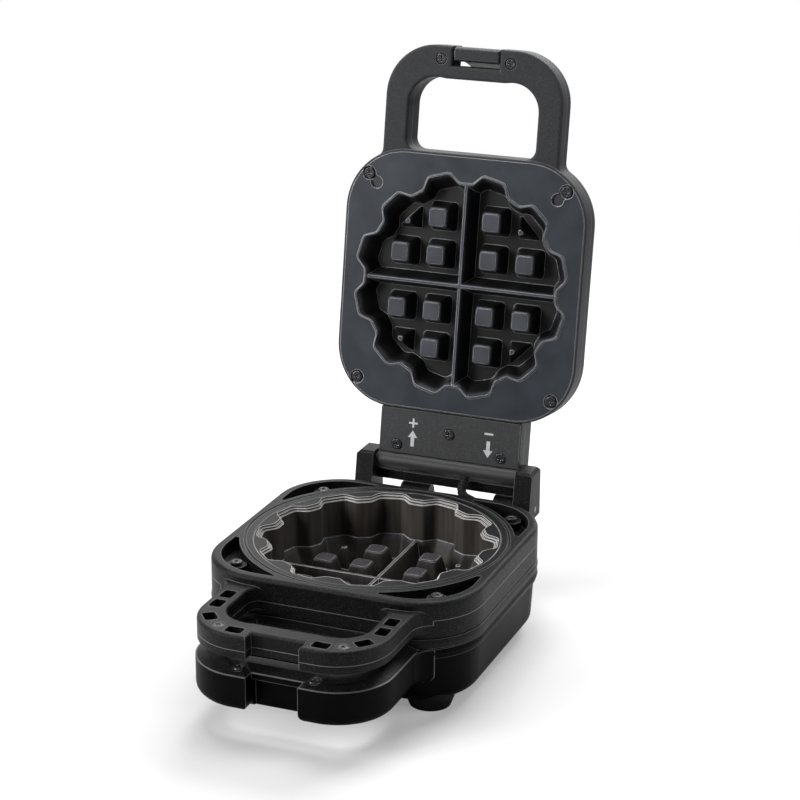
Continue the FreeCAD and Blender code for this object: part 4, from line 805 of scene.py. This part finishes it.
@dataclass
class PhotoCamera:
    """Camera at the photograph's place, given from the middle of the pan on the table."""

    lid: ShutLid
    eye: Place = (0.550115, -1.320585, 0.671561)
    azimuth: float = math.radians(22.02)
    elevation: float = math.radians(19.13)
    roll: float = math.radians(0.21)
    sensor: float = 36.0
    focal_share: float = 2315.29 / 800.0
    nearest: float = 0.05
    farthest: float = 50.0

    def build(self) -> None:
        """Set the camera by its own right, up and backward directions."""
        back = np.array([math.sin(self.azimuth) * math.cos(self.elevation),
                         -math.cos(self.azimuth) * math.cos(self.elevation), math.sin(self.elevation)])
        right = np.array([math.cos(self.azimuth), math.sin(self.azimuth), 0.0])
        up = np.cross(back, right)
        c, s = math.cos(self.roll), math.sin(self.roll)
        axes = np.stack([c * right + s * up, c * up - s * right, back], axis=1)
        data = bpy.data.cameras.new("photo_camera")
        data.sensor_width = self.sensor
        data.lens = self.focal_share * self.sensor
        data.clip_start, data.clip_end = self.nearest, self.farthest
        camera = bpy.data.objects.new("photo_camera", data)
        bpy.context.collection.objects.link(camera)
        pan = Vector((0.0, float(self.lid.pivot[1]) - self.lid.reach, 0.0))
        camera.matrix_world = Matrix.Translation(pan + Vector(self.eye)) @ Matrix(axes.tolist()).to_4x4()
        bpy.context.scene.camera = camera


@dataclass(frozen=True)
class SoftBox:
    """A rectangular soft box: its place, the point that it faces, its width and height in metres and its watts."""

    name: str
    place: Place
    aim: Place
    width: float
    height: float
    power: float

    def build(self) -> None:
        """Hang the box and turn it to its aim."""
        data = bpy.data.lights.new(self.name, "AREA")
        data.shape = "RECTANGLE"
        data.size, data.size_y, data.energy = self.width, self.height, self.power
        lamp = bpy.data.objects.new(self.name, data)
        bpy.context.collection.objects.link(lamp)
        lamp.location = self.place
        lamp.rotation_mode = "QUATERNION"
        lamp.rotation_quaternion = (Vector(self.aim) - Vector(self.place)).to_track_quat("-Z", "Y")


@dataclass
class Studio:
    """White backdrop and floor under soft boxes, in a dim room."""

    floor_reach: float = 3.0
    fade_start: float = 0.45
    fade_end: float = 1.1
    floor_colour: Colour = (0.56, 0.56, 0.56)
    floor_lift: float = 0.26
    ambient: float = 0.06
    dim_side: float = 0.14
    backdrop: Place = (-0.368, 0.911, 0.186)
    backdrop_edge: Tuple[float, float] = (0.72, 0.92)
    boxes: Tuple[SoftBox, ...] = (
        SoftBox("back_box", (0.1, 1.45, 1.6), (0.0, 0.0, 0.05), 1.6, 1.1, 55.0),
        SoftBox("top_box", (-0.25, 0.25, 1.9), (0.0, 0.0, 0.05), 0.9, 0.7, 18.0),
        SoftBox("left_box", (-1.4, -1.28, 1.0), (0.0, 0.05, 0.2), 0.9, 1.2, 38.5),
        SoftBox("right_box", (1.5, 0.35, 0.85), (0.0, 0.0, 0.08), 0.7, 1.1, 9.0),
    )

    def sky(self) -> None:
        """World that is white to the camera, a white backdrop in a dim room to mirrors, a dim light to the rest."""
        world = bpy.data.worlds.new("white_studio")
        world.use_nodes = True
        graph = Graph(world.node_tree)
        path = graph.node("ShaderNodeLightPath")
        camera, glossy, clear = [Sock(graph, path.socket.node.outputs[name])
                                 for name in ("Is Camera Ray", "Is Glossy Ray", "Is Transmission Ray")]
        heading = graph.node("ShaderNodeTexCoord", output="Generated")
        facing = graph.node("ShaderNodeVectorMath", {"operation": "DOT_PRODUCT"}, {0: heading, 1: self.backdrop},
                            "Value")
        sweep = self.dim_side + facing.ramp(*self.backdrop_edge) * (1.0 - self.dim_side)
        mirrored = (glossy + clear).ramp(0.0, 1.0)
        lit = mirrored * sweep + (1.0 - mirrored) * self.ambient
        strength = camera + (1.0 - camera) * lit
        light = graph.node("ShaderNodeBackground", {}, {"Color": (1.0, 1.0, 1.0), "Strength": strength})
        graph.node("ShaderNodeOutputWorld", {}, {"Surface": light})
        bpy.context.scene.world = world

    def floor(self) -> None:
        """Pale floor that keeps the shadow and fades into the white of the world away from the object."""
        reach = self.floor_reach
        corners = np.array([(-reach, -reach, 0.0), (reach, -reach, 0.0), (reach, reach, 0.0), (-reach, reach, 0.0)])
        floor = mesh_piece("floor", corners, [[0, 1, 2, 3]], False)
        material = bpy.data.materials.new("white_floor")
        material.use_nodes = True
        graph = Graph(material.node_tree)
        place = graph.coordinates()
        away = graph.node("ShaderNodeVectorMath", {"operation": "LENGTH"}, {0: place}, "Value")
        path = graph.node("ShaderNodeLightPath")
        lift = Sock(graph, path.socket.node.outputs["Is Camera Ray"]) * self.floor_lift
        matt = graph.node("ShaderNodeBsdfDiffuse", {}, {"Color": self.floor_colour})
        glow = graph.node("ShaderNodeEmission", {}, {"Color": (1.0, 1.0, 1.0), "Strength": lift})
        lit = graph.node("ShaderNodeAddShader", {}, {0: matt, 1: glow})
        clear = graph.node("ShaderNodeBsdfTransparent")
        gone = away.ramp(self.fade_start, self.fade_end)
        mixed = graph.node("ShaderNodeMixShader", {}, {0: gone, 1: lit, 2: clear})
        graph.node("ShaderNodeOutputMaterial", {}, {"Surface": mixed})
        floor.data.materials.append(material)

    def build(self) -> None:
        """Set the world, the floor and the lamps."""
        self.sky()
        self.floor()
        for box in self.boxes:
            box.build()
        bpy.context.scene.view_settings.view_transform = "Standard"


def main() -> None:
    """Set the camera, light the scene, then build and dress each sub-assembly."""
    logging.basicConfig(level=logging.INFO, format="%(name)s: %(message)s")
    shut = ShutLid()
    dresser = Dresser(finishes(shut))
    PhotoCamera(shut).build()
    Studio().build()
    BaseTier(dresser).dress()
    for assembly in (RingTier(dresser, shut), Lid(dresser, shut), Latch(dresser, shut)):
        assembly.dress()
        assembly.build()


if __name__ == "__main__":
    main()
